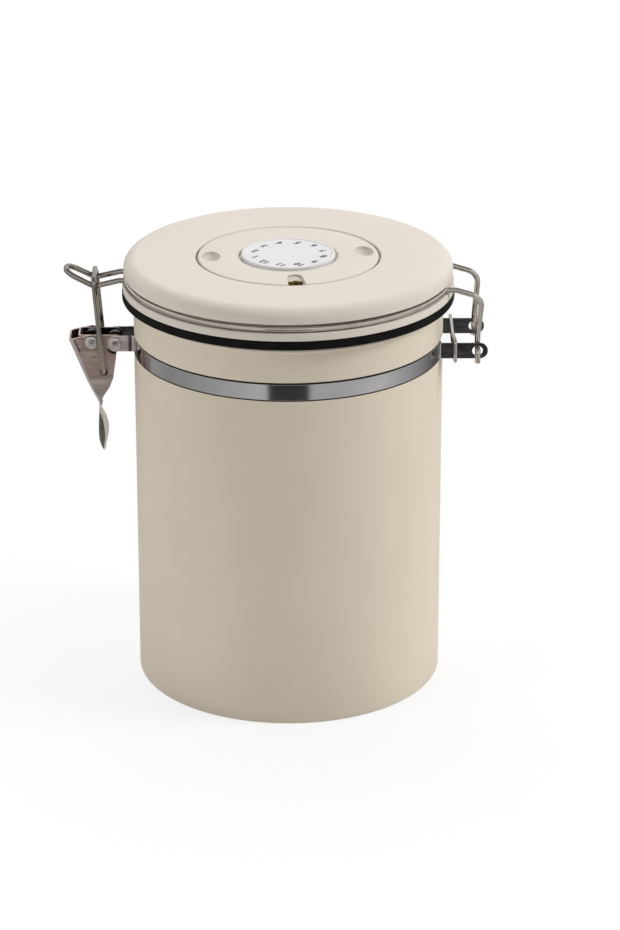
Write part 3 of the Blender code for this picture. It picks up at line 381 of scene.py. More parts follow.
def bore(piece, radius, centre, length=THROUGH_ALL):
    """Cut a round hole along Y."""
    return cut(piece, put(drum(radius, centre, length), rotation_euler=(math.pi / 2, 0, 0)))


def bake(piece):
    """Turn a piece's modifiers into its mesh."""
    graph = bpy.context.evaluated_depsgraph_get()
    mesh = bpy.data.meshes.new_from_object(piece.evaluated_get(graph))
    piece.modifiers.clear()
    old = piece.data
    piece.data = mesh
    bpy.data.meshes.remove(old)
    return mesh


def settle(piece, tools=(), sharp=35):
    """Bake a piece with its place and turn, and drop its tools."""
    bpy.context.view_layer.update()
    mesh = bake(piece)
    mesh.transform(piece.matrix_world)
    piece.matrix_world = Matrix.Identity(4)
    for tool in tools:
        bpy.data.objects.remove(tool, do_unlink=True)
    mesh.shade_smooth()
    mesh.set_sharp_from_angle(angle=math.radians(sharp))


def even_normals(piece):
    """Let the broad faces set the normals, so that flat sheet looks flat."""
    put(piece.modifiers.new("Even normals", "WEIGHTED_NORMAL"), keep_sharp=True, weight=95)
    bake(piece)


# Materials
SHADER_INPUTS = {
    "colour": "Base Color",
    "rough": "Roughness",
    "metal": "Metallic",
    "normal": "Normal",
    "specular": "Specular IOR Level",
    "sheen": "Sheen Weight",
}


class Nodes:
    """Short way to build the nodes of a material or of the world."""

    def __init__(self, owner, place="Object", fresh=False):
        owner.use_nodes = True
        self.owner = owner
        self.tree = owner.node_tree
        if fresh:
            self.tree.nodes.clear()
        self.place = self.node("TexCoord").outputs[place]

    def feed(self, socket, value):
        """Give an input a link, a colour or a plain value."""
        if isinstance(value, bpy.types.NodeSocket):
            self.tree.links.new(value, socket)
        elif socket.type == "RGBA":
            socket.default_value = (*value, 1)
        else:
            socket.default_value = value

    def node(self, kind, inputs=None, **settings):
        """New node, with its inputs fed by name or number."""
        made = put(self.tree.nodes.new("ShaderNode" + kind), **settings)
        for key, value in (inputs or {}).items():
            self.feed(made.inputs[key], value)
        return made

    def math(self, operation, *values):
        return self.node("Math", dict(enumerate(values)), operation=operation).outputs[0]

    def noise(self, scale, detail=3.0, rough=0.5, place=None):
        inputs = {"Scale": scale, "Detail": detail, "Roughness": rough, "Vector": place or self.place}
        return self.node("TexNoise", inputs).outputs["Fac"]

    def ramp(self, value, low, high, start=0.0, end=1.0):
        """From low to high while the value runs from start to end."""
        inputs = {"Value": value, "From Min": start, "From Max": end, "To Min": low, "To Max": high}
        return self.node("MapRange", inputs).outputs["Result"]

    def colours(self, value, stops):
        made = self.node("ValToRGB", {"Fac": value})
        elements = made.color_ramp.elements
        while len(elements) < len(stops):
            elements.new(0.5)
        for element, (place, colour) in zip(elements, stops):
            put(element, position=place, color=(*colour, 1))
        return made.outputs["Color"]

    def greys(self, value, stops):
        return self.colours(value, [(place, (brightness,) * 3) for place, brightness in stops])

    def mix(self, factor, first, second):
        return self.node("Mix", {0: factor, 6: first, 7: second}, data_type="RGBA").outputs[2]

    def bump(self, height, strength, distance):
        inputs = {"Height": height, "Strength": strength, "Distance": distance}
        return self.node("Bump", inputs).outputs["Normal"]

    def axes(self):
        return self.node("SeparateXYZ", {0: self.place}).outputs

    def turned_place(self, around, along):
        """Coordinates that run round the canister's axis and up it."""
        x, y, z = self.axes()
        angle = self.math("ARCTAN2", y, x)
        inputs = {"X": self.math("MULTIPLY", angle, around), "Y": self.math("MULTIPLY", z, along)}
        return self.node("CombineXYZ", inputs).outputs[0]

    def smear(self, scales):
        """Noise that is drawn out where its scale is small."""
        place = self.node("Mapping", {"Vector": self.place, "Scale": scales}).outputs["Vector"]
        return self.noise(1.0, 3, 0.6, place)

    def seen_straight(self):
        """1 for camera, glossy and transmission rays, else 0."""
        rays = self.node("LightPath").outputs
        shiny = self.math("MAXIMUM", rays["Is Glossy Ray"], rays["Is Transmission Ray"])
        return self.math("MAXIMUM", rays["Is Camera Ray"], shiny)

    def seen_by_camera(self):
        return self.node("LightPath").outputs["Is Camera Ray"]

    def show(self, kind, share, first, second):
        """Two shaders, mixed by a share, as what a material or the world shows."""
        mixed = self.node("MixShader", {0: share, 1: first.outputs[0], 2: second.outputs[0]})
        self.node("Output" + kind, {"Surface": mixed.outputs[0]})

    def surface(self, **values):
        """Feed the material's own shader, and give back the material."""
        shader = self.tree.nodes["Principled BSDF"]
        for key, value in values.items():
            self.feed(shader.inputs[SHADER_INPUTS[key]], value)
        return self.owner

    def steel(self, tint, marks, smooth, dull, strength=0.05, distance=0.00003, metal=1.0):
        """Metal whose gloss and bumps follow the same marks."""
        rough = self.ramp(marks, smooth, dull, 0.3, 0.7)
        normal = self.bump(marks, strength, distance)
        return self.surface(colour=tint, rough=rough, metal=metal, normal=normal)


def material_nodes(name):
    return Nodes(bpy.data.materials.new(name))


def mottled(name, low, high, tint, rough, bump=None, stops=(0.30, 0.70), **values):
    """Plain finish: noises of (scale, detail, roughness) drive tint, gloss and bumps."""
    n = material_nodes(name)
    values["colour"] = n.colours(n.noise(*tint), list(zip(stops, (low, high))))
    noise, smooth, dull = rough
    values["rough"] = n.ramp(n.noise(*noise), smooth, dull)
    if bump:
        noise, strength, distance = bump
        values["normal"] = n.bump(n.noise(*noise), strength, distance)
    return n.surface(**values)


def moulded_plastic(name, low, high):
    rough = ((90, 4), 0.44, 0.54)
    bump = ((2600, 2), 0.05, 0.00006)
    return mottled(name, low, high, (22, 3), rough, bump, specular=0.38)


def polished_sheet(name, low, high, smooth, dull, metal=1.0, scales=(120, 120, 500)):
    n = material_nodes(name)
    smear = n.smear(scales)
    tint = n.colours(smear, [(0.30, low), (0.70, high)])
    return n.steel(tint, smear, smooth, dull, metal=metal)


def coated_steel():
    n = material_nodes("cream_coat")
    tint = n.colours(n.noise(28, 3), [(0.30, (0.685, 0.604, 0.480)), (0.70, (0.710, 0.629, 0.502))])
    speck = n.mix(n.ramp(n.noise(900, 2), 0.0, 0.10, 0.35, 0.75), tint, (0.70, 0.65, 0.55))
    rough = n.ramp(n.noise(60, 4), 0.46, 0.56)
    normal = n.bump(n.noise(2200, 2), 0.10, 0.00008)
    return n.surface(colour=speck, rough=rough, normal=normal, specular=0.45)


def brushed_band():
    n = material_nodes("brushed_band")
    lines = n.noise(1.0, 3, 0.6, n.turned_place(2.2, 9000))
    broad = n.noise(1.0, 2, 0.5, n.turned_place(2.6, 60))
    tint = n.colours(lines, [(0.30, (0.50, 0.485, 0.49)), (0.70, (0.60, 0.585, 0.59))])
    shade = n.mix(n.ramp(broad, 0.0, 0.45, 0.35, 0.75), tint, (0.42, 0.405, 0.41))
    return n.steel(shade, lines, 0.07, 0.17, 0.05, 0.00002)


def ear_steel():
    """Bright sheet with the shade of its bend beside the can."""
    n = material_nodes("latch_ear")
    smear = n.smear((120, 120, 500))
    tint = n.colours(smear, [(0.30, (0.70, 0.580, 0.575)), (0.70, (0.92, 0.795, 0.790))])
    away = n.math("ABSOLUTE", n.math("SUBTRACT", n.axes()["X"], EAR_BEND_X))
    tint = n.mix(n.ramp(away, 0.85, 0.0, 0.0004, 0.0010), tint, (0.05, 0.045, 0.045))
    return n.steel(tint, smear, 0.30, 0.42)


def latch_sheet():
    """Stained sheet, warmer in the lever's upper half."""
    n = material_nodes("latch_sheet")
    stain = n.smear((90, 90, 420))
    cool = n.colours(
        stain,
        [(0.30, (0.33, 0.270, 0.245)), (0.52, (0.45, 0.385, 0.355)), (0.75, (0.60, 0.535, 0.505))],
    )
    warm = n.colours(
        stain,
        [(0.30, (0.56, 0.420, 0.360)), (0.52, (0.70, 0.540, 0.470)), (0.75, (0.86, 0.690, 0.610))],
    )
    tint = n.mix(n.ramp(n.axes()["Z"], 0.0, 1.0, 0.120, 0.132), cool, warm)
    return n.steel(tint, n.smear((160, 160, 900)), 0.20, 0.40, 0.08, 0.00005)


def wire_metal():
    """Bright wire, duller at the latch."""
    n = material_nodes("wire_metal")
    stain = n.noise(150, 2, 0.5)
    dull = n.colours(stain, [(0.30, (0.34, 0.305, 0.27)), (0.70, (0.41, 0.37, 0.335))])
    bright = n.colours(stain, [(0.30, (0.56, 0.515, 0.47)), (0.70, (0.66, 0.615, 0.57))])
    tint = n.mix(n.ramp(n.axes()["X"], 0.0, 1.0, -0.068, -0.062), dull, bright)
    return n.steel(tint, n.noise(700, 2), 0.09, 0.15, 0.02)


COAT = coated_steel()
LID = moulded_plastic("lid_plastic", (0.685, 0.627, 0.551), (0.708, 0.652, 0.578))
LID_SHADE = moulded_plastic("lid_hollow", (0.570, 0.522, 0.455), (0.600, 0.550, 0.480))
# Painted shade: dark brown that stands in for the dark inside of the vent
VENT_PAINTED_SHADE = moulded_plastic("vent_painted_shade", (0.170, 0.105, 0.015), (0.210, 0.135, 0.025))
LINER = moulded_plastic("liner_plastic", (0.700, 0.645, 0.565), (0.725, 0.670, 0.590))
GROOVE_SHADE = polished_sheet("groove_shade", (0.035, 0.028, 0.020), (0.060, 0.050, 0.036), 0.5, 0.65, 0.0)
# Painted shade: darkened steel for the hinge ears and for the faces between the latch's cheeks
PAINTED_SHADE_STEEL = polished_sheet(
    "steel_painted_shade", (0.15, 0.14, 0.15), (0.24, 0.225, 0.24), 0.14, 0.24, scales=(160, 160, 700)
)
RIVET_STEEL = polished_sheet("rivet_steel", (0.58, 0.53, 0.51), (0.74, 0.685, 0.665), 0.22, 0.34)
# Painted highlight: a lighter sheet along the lever's fold
FOLD_PAINTED_HIGHLIGHT = polished_sheet("fold_painted_highlight", (0.66, 0.64, 0.635), (0.78, 0.76, 0.75), 0.30, 0.42)
# Painted light and shade: a near-white copy for the tail's inner face, a dark one for its outer face
TAIL_INSIDE_PAINTED_LIGHT = polished_sheet("tail_inside_painted_light", (0.90, 0.88, 0.87), (0.95, 0.93, 0.92), 0.40, 0.50, 0.05)
TAIL_OUTSIDE_PAINTED_SHADE = polished_sheet("tail_outside_painted_shade", (0.160, 0.155, 0.125), (0.220, 0.212, 0.172), 0.25, 0.38)
BAND = brushed_band()
SHEET_METAL = latch_sheet()
LATCH_EAR = ear_steel()
WIRE = wire_metal()
RUBBER = mottled(
    "black_rubber", (0.004, 0.004, 0.004), (0.009, 0.009, 0.008),
    tint=(300, 4, 0.6),
    rough=((120, 3), 0.42, 0.60),
    bump=((1500, 3), 0.12, 0.00006),
    stops=(0.40, 0.75),
    specular=0.09,
)
SCREW = mottled(
    "screw_metal", (0.48, 0.47, 0.46), (0.60, 0.59, 0.58),
    tint=(400, 3),
    rough=((900, 3), 0.24, 0.38),
    bump=((1200, 2), 0.08, 0.00004),
    metal=1.0,
)
DIAL = mottled(
    "dial_white", (0.712, 0.700, 0.698), (0.748, 0.735, 0.730),
    tint=(60, 3),
    rough=((200, 3), 0.30, 0.40),
    bump=((2500, 2), 0.04, 0.00005),
)
INK = mottled(
    "dial_ink", (0.020, 0.019, 0.020), (0.050, 0.048, 0.050),
    tint=(900, 3),
    rough=((700, 2), 0.45, 0.60),
)
FIBRES = (3200, 5, 0.7)
FELT = mottled(
    "filter_felt", (0.020, 0.020, 0.020), (0.090, 0.088, 0.085),
    tint=FIBRES,
    rough=(FIBRES, 0.85, 1.0),
    bump=(FIBRES, 0.6, 0.0002),
    sheen=0.3,
)


def dress(piece, body, material, slot, *nodes):
    """Ride on a body, take the place of CAD nodes and wear a material."""
    piece.data.materials.clear()
    piece.data.materials.append(material)
    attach(piece, body)
    if nodes:
        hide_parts(*nodes)


def second_coat(piece, material, wanted):
    """Give another material to the faces whose centre and normal pass a test."""
    piece.data.materials.append(material)
    index = len(piece.data.materials) - 1
    for face in piece.data.polygons:
        if wanted(face.center, face.normal):
            face.material_index = index


# Canister
def base_rows(height):
    """The drawn base from its middle to its foot, at a height above its underside."""
    rise = BASE_CHANNEL + height
    return [
        (0, height, 0),
        (BASE_HUB, height, 0.0006),
        (BASE_HUB + BASE_CHANNEL, rise, 0.0006),
        (BASE_FOOT - BASE_CHANNEL, rise, 0.0006),
        (BASE_FOOT, height, 0.0006),
    ]


def canister():
    inner = BODY_RADIUS - BODY_WALL
    groove_inner = GROOVE_RADIUS - BODY_WALL
    low = BAND_BOTTOM - GAP
    high = BAND_TOP + 0.0006
    bead = (inner + RIM_BEAD, BODY_HEIGHT - RIM_BEAD)
    bead_end = -math.pi + math.acos((bead[0] - BODY_RADIUS) / RIM_BEAD)
    crisp = 0.0002
    points = profile(base_rows(BODY_WALL) + [
        (inner, BODY_WALL, BODY_CORNER - BODY_WALL),
        (inner, low - BODY_WALL, crisp),
        (groove_inner, low, crisp),
        (groove_inner, high, crisp),
        (inner, high + BODY_WALL, crisp),
        (inner, bead[1] - 0.0001, 0),
    ])
    points += arc(bead, RIM_BEAD, math.pi, bead_end, 22)
    points += profile([
        (BODY_RADIUS, bead[1] - 0.0020, 0),
        (BODY_RADIUS, high, 0.00025),
        (GROOVE_RADIUS, high, 0.00012),
        (GROOVE_RADIUS, low, 0.00012),
        (BODY_RADIUS, low, 0.00025),
        (BODY_RADIUS, 0, BODY_CORNER),
    ] + base_rows(0)[::-1])
    piece = lathe("can_body", points, FINE_ROUND)
    dress(piece, "canister", COAT, "cream_paint", "canister_body")
    second_coat(
        piece,
        GROOVE_SHADE,
        lambda at, _: low - 0.0003 < at.z < high + 0.0003
        and GROOVE_RADIUS - 0.0002 < math.hypot(at.x, at.y) < BODY_RADIUS - 0.00005,
    )


def strap(name, side, node):
    hinge_y = side * HINGE_EAR_Y
    latch_y = side * LATCH_EAR_Y
    start = side * math.asin(HINGE_EAR_Y / BAND_CENTRE)
    end = side * (math.pi - math.asin(LATCH_EAR_Y / BAND_CENTRE))
    corners = [((HINGE_EAR_X, hinge_y, BAND_MID), 0)]
    corners += round_the_can(BAND_CENTRE, start, end, BAND_MID, 0.0013)
    corners.append(((LATCH_EAR_X, latch_y, BAND_MID), 0))
    piece = strip(name, corners, BAND_HALF, (1, -1))
    tools = [
        bore(piece, HINGE_HOLE, (HINGE_X, hinge_y, BAND_MID), THROUGH_ONE),
        bore(piece, RIVET_HOLE, (LATCH_EAR_X, latch_y, BAND_MID), THROUGH_ONE),
    ]
    settle(piece, tools)
    even_normals(piece)
    dress(piece, "canister", BAND, "band_steel", node)
    second_coat(piece, LATCH_EAR, lambda at, _: at.x < 0 and abs(at.y) < LATCH_EAR_Y + 0.0016)
    # Painted shade on the hinge ears and on the inner faces of the latch ears
    second_coat(
        piece,
        PAINTED_SHADE_STEEL,
        lambda at, out: at.x > BODY_RADIUS - 0.0010
        or (at.x < 0 and abs(at.y) < LATCH_EAR_Y + 0.0004 and out.y * side < -0.5),
    )


def hinge_ring():
    x = BODY_RADIUS + 0.0044
    half_y = HINGE_EAR_Y + SHEET / 2 + GAP + RING_WIRE
    half_z = BAND_HALF + GAP + RING_WIRE
    back_x = x - RING_WIRE
    corners = [
        ((x, -half_y, BAND_MID - half_z), RING_BEND),
        ((x, half_y, BAND_MID - half_z), RING_BEND),
        ((back_x, half_y, BAND_MID + half_z), RING_BEND),
        ((back_x, -0.0070, BAND_MID + half_z), RING_BEND),
        ((x, -half_y, BAND_MID + half_z), RING_BEND),
    ]
    piece = tube("band_ring", rounded_path(corners, closed=True), RING_WIRE, 16, closed=True)
    dress(piece, "canister", WIRE, "wire_steel", "hinge_ring")


def latch_bracket():
    half = 0.0030
    y = LATCH_EAR_Y - SHEET - GAP
    z = (BAND_MID + LATCH_Z) / 2
    web = LEVER_X - 0.0053 + SHEET / 2
    corners = [
        ((LATCH_EAR_X, -y, z), 0),
        ((web, -y, z), 0.0014),
        ((web, y, z), 0.0014),
        ((LATCH_EAR_X, y, z), 0),
    ]
    piece = strip("bracket", corners, half, (1, 1))
    tools = [
        bore(piece, RIVET_HOLE, (LATCH_EAR_X, 0, BAND_MID)),
        bore(piece, RIVET_HOLE, LEVER_PIVOT),
    ]
    settle(piece, tools)
    even_normals(piece)
    dress(piece, "canister", SHEET_METAL, "latch_steel", "latch_bracket")
    # Painted shade on the bracket's inner faces, between the cheeks
    second_coat(piece, PAINTED_SHADE_STEEL, lambda at, out: abs(out.y) > 0.5 and at.y * out.y < 0)


def rivet(name, x, z, side, node):
    inner = LATCH_EAR_Y - SHEET - GAP - SHEET / 2 - GAP
    outer = LATCH_EAR_Y + SHEET / 2 + GAP
    dome = []
    for step in range(9):
        angle = math.pi / 2 * step / 8
        dome.append((RIVET_HEAD * math.sin(angle), RIVET_RIM + RIVET_DOME * math.cos(angle)))
    points = [(radius, outer + rise) for radius, rise in dome]
    points += [(RIVET_HEAD, outer), (RIVET_SHANK, outer), (RIVET_SHANK, inner), (RIVET_HEAD, inner)]
    points += [(radius, inner - rise) for radius, rise in reversed(dome[:-1])]
    piece = lathe(name, points, 48)
    piece.matrix_world = Matrix.Translation((x, 0, z)) @ Matrix.Rotation(-side * math.pi / 2, 4, "X")
    settle(piece)
    dress(piece, "canister", RIVET_STEEL, "latch_steel", node)
    # Painted shade on the rivet heads between the cheeks
    second_coat(piece, PAINTED_SHADE_STEEL, lambda at, _: abs(at.y) < LATCH_EAR_Y - SHEET / 2)


# Latch
LEVER_CORNER_X = 0.0086
LEVER_CORNER_Z = 0.0010
LEVER_FOLD = 0.0013
LEVER_NECK_X = 0.0026
LEVER_NECK_Z = 0.0275
LEVER_NECK_HALF = 0.0009
LEVER_STRAIGHT = 0.0150
LEVER_TAIL = 0.0200
LEVER_TAIL_HALF = 0.0048
LEVER_CUP = 0.0029
LEVER_LEAN = 0.06
LEVER_DOME = 0.0031
LEVER_EDGE = LEVER_CORNER_X + LEVER_DOME
SLIT_LOW = Vector((-0.00455, -0.0040))
SLIT_HIGH = Vector((-0.00680, 0.0009))
SLIT_HALF = 0.00024
SLIT_DEPTH = 0.0005
# How the cheeks narrow below the straight part: (down, half width, free edge)
NARROW_SHARES = ((0.48, 0.66, 0.56), (0.80, 0.24, 0.20), (1.00, 0.00, -0.045))
# The finger tail: (down, half width, cup, outwards)
TAIL_SHARES = (
    (0.13, 0.36, 0.10, -0.02), (0.30, 0.72, 0.60, -0.25), (0.48, 0.95, 0.92, -0.45),
    (0.64, 1.00, 1.00, -0.50), (0.80, 0.80, 0.78, -0.20), (0.93, 0.42, 0.34, 0.65),
    (1.00, 0.10, 0.04, 1.55),
)
# The cheek's free edge: (across, down)
EDGE_SHARES = (
    (0.36, -0.03), (0.58, 0.10), (0.80, 0.165), (1.02, 0.185), (1.06, 0.22), (1.01, 0.31),
    (0.91, 0.545), (0.735, 0.70), (0.535, 0.81), (0.40, 0.905), (0.355, 1.00),
)
HALF_COLUMNS = 12


def fold_x(z):
    """Where the folded edge lies at a height, seen from the pivot."""
    slope = (LEVER_CORNER_X + LEVER_NECK_X) / (LEVER_NECK_Z + LEVER_CORNER_Z)
    return -LEVER_CORNER_X + (LEVER_CORNER_Z - z) * slope


def folded_section(edge, half, outer):
    """Half of a folded section, from its free edge to the middle of the web."""
    fold = min(LEVER_FOLD, half * 0.6)
    points = []
    for step in range(4):
        points.append((edge + (outer + fold - edge) * step / 4, half))
    for step in range(6):
        angle = math.pi / 2 + math.pi / 2 * step / 5
        points.append((outer + fold + fold * math.cos(angle), half - fold + fold * math.sin(angle)))
    points.append((outer, (half - fold) / 2))
    points.append((outer, 0.0))
    return points


def cupped_section(outer, cup, half):
    """Half of the tail's section, from its edge to the middle."""
    points = []
    for step in range(HALF_COLUMNS):
        share = 1 - step / (HALF_COLUMNS - 1)
        points.append((outer + cup * share ** 2, half * share))
    return points


def between_rows(rows, steps):
    """Rows in between, on a smooth curve through the given ones."""
    smooth = []
    for index, (first, second) in enumerate(zip(rows, rows[1:])):
        before = rows[max(index - 1, 0)]
        after = rows[min(index + 2, len(rows) - 1)]
        span = second[0] - first[0]
        lead = span / (second[0] - before[0])
        trail = span / (after[0] - first[0])
        for step in range(steps):
            t = step / steps
            blend = t * t * (3 - 2 * t)
            early = t ** 3 - 2 * t ** 2 + t
            late = t ** 3 - t ** 2
            section = []
            for column in zip(before[1], first[1], second[1], after[1]):
                point = []
                for back, start, end, ahead in zip(*column):
                    value = start * (1 - blend) + end * blend
                    point.append(value + (end - back) * lead * early + (ahead - start) * trail * late)
                section.append(point)
            smooth.append((first[0] + span * t, section))
    smooth.append(rows[-1])
    return smooth


def lever_rows():
    """Half sections of the lever's sheet, from its top to the tail's tip."""
    straight = []
    for z in (LEVER_DOME + 0.002, -LEVER_STRAIGHT * 0.5, -LEVER_STRAIGHT):
        straight.append((z, folded_section(LEVER_EDGE, LATCH_EAR_Y, fold_x(z))))
    rows = [straight.pop()]
    for down, half_share, edge_share in NARROW_SHARES:
        z = -LEVER_STRAIGHT - (LEVER_NECK_Z - LEVER_STRAIGHT) * down
        half = LEVER_NECK_HALF + (LATCH_EAR_Y - LEVER_NECK_HALF) * half_share
        edge = fold_x(z) + LEVER_FOLD + LEVER_EDGE * edge_share
        rows.append((z, folded_section(edge, half, fold_x(z))))
    for down, width, cup, out in TAIL_SHARES:
        z = -LEVER_NECK_Z - LEVER_TAIL * down
        outer = LEVER_NECK_X + LEVER_NECK_HALF * out
        rows.append((z, cupped_section(outer, LEVER_CUP * cup, LEVER_TAIL_HALF * width)))
    return straight + between_rows(rows, 5)


def lever_sheet():
    """The lever's folded sheet, before its outline is cut."""
    rows = lever_rows()
    corners = []
    for z, section in rows:
        down = (-LEVER_NECK_Z - z) / (LEVER_TAIL * 0.3)
        lean = LEVER_LEAN * min(max(down, 0.0), 1.0)
        corners += [(x - lean * y, -y, z) for x, y in section]
        corners += [(x + lean * y, y, z) for x, y in reversed(section[:-1])]
    columns = 2 * HALF_COLUMNS - 1
    faces = []
    for row in range(len(rows) - 1):
        for column in range(columns - 1):
            first = row * columns + column
            faces.append((first, first + 1, first + columns + 1, first + columns))
    mesh = bpy.data.meshes.new("lever")
    mesh.from_pydata(corners, [], faces)
    piece = put(add_object("lever", mesh), location=LEVER_PIVOT)
    put(piece.modifiers.new("Sheet", "SOLIDIFY"), thickness=SHEET, offset=0, use_even_offset=True)
    return piece


def lever_outline():
    """The lever seen from the side, as (x, z) from its pivot."""
    span = abs(LEVER_X - LATCH_EAR_X)
    bottom = -LEVER_NECK_Z - LEVER_TAIL - LEVER_FOLD
    rows = [(-LEVER_CORNER_X - SHEET, LEVER_CORNER_Z, 0)]
    rows += [(x, z, 0) for x, z in arc((0, 0), LEVER_DOME, math.radians(104), math.radians(20), 14)]
    rows += [(span * across, -LEVER_NECK_Z * down, 0.0012) for across, down in EDGE_SHARES]
    rows += [
        (span, -LEVER_NECK_Z - LEVER_FOLD, 0),
        (span, bottom, 0),
        (-LEVER_FOLD, bottom, 0),
        (fold_x(-LEVER_NECK_Z) - 0.003, -LEVER_NECK_Z, 0),
    ]
    return profile(rows, 5)


def cheek_cutter(outline, low, high):
    """Cutter along Y from an outline of (x, z) about the lever's pivot."""
    tool = prism("cheek_cutter", outline, low, high)
    tool.matrix_world = Matrix.Translation(LEVER_PIVOT) @ Matrix.Rotation(math.pi / 2, 4, "X")
    return tool


def latch_lever():
    piece = lever_sheet()
    away = (SLIT_HIGH - SLIT_LOW).orthogonal().normalized() * SLIT_HALF
    slit = [SLIT_LOW - away, SLIT_HIGH - away, SLIT_HIGH + away, SLIT_LOW + away]
    outside = LATCH_EAR_Y + SHEET / 2
    slit_floor = outside - SLIT_DEPTH
    tools = [
        cut(piece, cheek_cutter(slit, -LINK_HALF, -slit_floor)),
        cut(piece, cheek_cutter(slit, slit_floor, LINK_HALF)),
        cut(piece, cheek_cutter(lever_outline(), -LINK_HALF, LINK_HALF), "INTERSECT"),
        bore(piece, RIVET_HOLE, LEVER_PIVOT),
        bore(piece, LINK_HOLE, (LINK_EYE_X, 0, LINK_EYE_Z - GAP)),
    ]
    settle(piece, tools)
    soft = piece.modifiers.new("Soft edges", "BEVEL")
    put(soft, width=0.00012, segments=2, limit_method="ANGLE", angle_limit=math.radians(50))
    settle(piece)
    even_normals(piece)
    dress(piece, "lever", SHEET_METAL, "latch_steel", "latch_lever")
    neck = LATCH_Z - LEVER_NECK_Z
    # Painted highlight along the lever's fold
    second_coat(piece, FOLD_PAINTED_HIGHLIGHT, lambda at, out: at.z > neck and out.x < -0.2 and abs(out.y) > 0.2)
    # Painted shade on the cheeks' inner faces and in the slit
    second_coat(
        piece,
        PAINTED_SHADE_STEEL,
        lambda at, out: at.z > neck + 0.004 and abs(out.y) > 0.5 and at.y * out.y < 0,
    )
    second_coat(
        piece,
        PAINTED_SHADE_STEEL,
        lambda at, _: slit_floor - 0.0001 < abs(at.y) < outside - 0.0001
        and at.z > LATCH_Z - 0.0045
        and LEVER_X + fold_x(at.z - LATCH_Z) + LEVER_FOLD < at.x < LEVER_X - 0.0038,
    )
    # Painted light on the tail's inner face, painted shade on its outer face
    second_coat(piece, TAIL_INSIDE_PAINTED_LIGHT, lambda at, out: at.z < neck and out.x > 0.10)
    second_coat(piece, TAIL_OUTSIDE_PAINTED_SHADE, lambda at, out: at.z < neck - 0.0020 and out.x <= 0.10)


def latch_link():
    end = LATCH_EAR_Y - SHEET
    corners = []
    for side in (-1, 1):
        leg = [
            ((LINK_EYE_X, side * end, LINK_EYE_Z), 0),
            ((LINK_EYE_X, side * LINK_HALF, LINK_EYE_Z), 0.0014),
            ((-LINK_BAR_X, side * LINK_HALF, LINK_BAR_Z), 0.0024),
        ]
        corners += leg if side < 0 else reversed(leg)
    piece = tube("link_wire", rounded_path(corners, 10), LINK_WIRE)
    dress(piece, "link", WIRE, "wire_steel", "latch_link")


# Lid

# The bail's shoulders and the tongue's roots, at the front (-1) and the rear (1)
SHOULDER_Y = {-1: 0.0195, 1: 0.0100}
ROOT_Y = {-1: TONGUE_Y + 0.0012, 1: TONGUE_Y - 0.0018}
HOOK_LENGTH = 0.0048


def bail_half(side):
    """Corners and bends of half the bail, from its hook in the ear to the tongue's tip."""
    leg_y = HINGE_EAR_Y - SHEET / 2 - GAP - BAIL_WIRE
    hook_y = HINGE_EAR_Y + SHEET / 2 + GAP + BAIL_WIRE
    shoulder_y = SHOULDER_Y[side]
    root_y = ROOT_Y[side]
    start = side * math.asin(shoulder_y / BAIL_RADIUS)
    end = side * (math.pi - math.asin(root_y / BAIL_RADIUS))
    corners = [
        ((HINGE_X, side * hook_y, HINGE_Z - HOOK_LENGTH), 0),
        ((HINGE_X, side * hook_y, HINGE_Z), 0.0018),
        ((HINGE_X, side * leg_y, HINGE_Z), 0.0018),
        ((HINGE_X, side * leg_y, HINGE_Z + HOOK_LENGTH), 0.0030),
        ((HINGE_X + 0.0012, side * shoulder_y, BAIL_Z - 0.0030), 0.0056),
        ((FLANGE_RADIUS, side * shoulder_y, BAIL_Z), 0.0016),
    ]
    corners += round_the_can(BAIL_RADIUS, start, end, BAIL_Z, 0.0010)
    tip = BAIL_RADIUS + 0.0230
    corners += [
        ((-(FLANGE_RADIUS + 0.0010), side * root_y, BAIL_Z), 0.0016),
        ((-LINK_BAR_X, side * TONGUE_Y, TONGUE_Z), 0.0050),
        ((-tip, side * TONGUE_Y * 0.86, TONGUE_Z + 0.0056), 0.0043),
    ]
    return corners


def bail():
    front = bail_half(-1)
    rear = bail_half(1)
    rear.reverse()
    piece = tube("bail_wire", rounded_path(front + rear), BAIL_WIRE)
    dress(piece, "lid", WIRE, "wire_steel", "lid_bail")


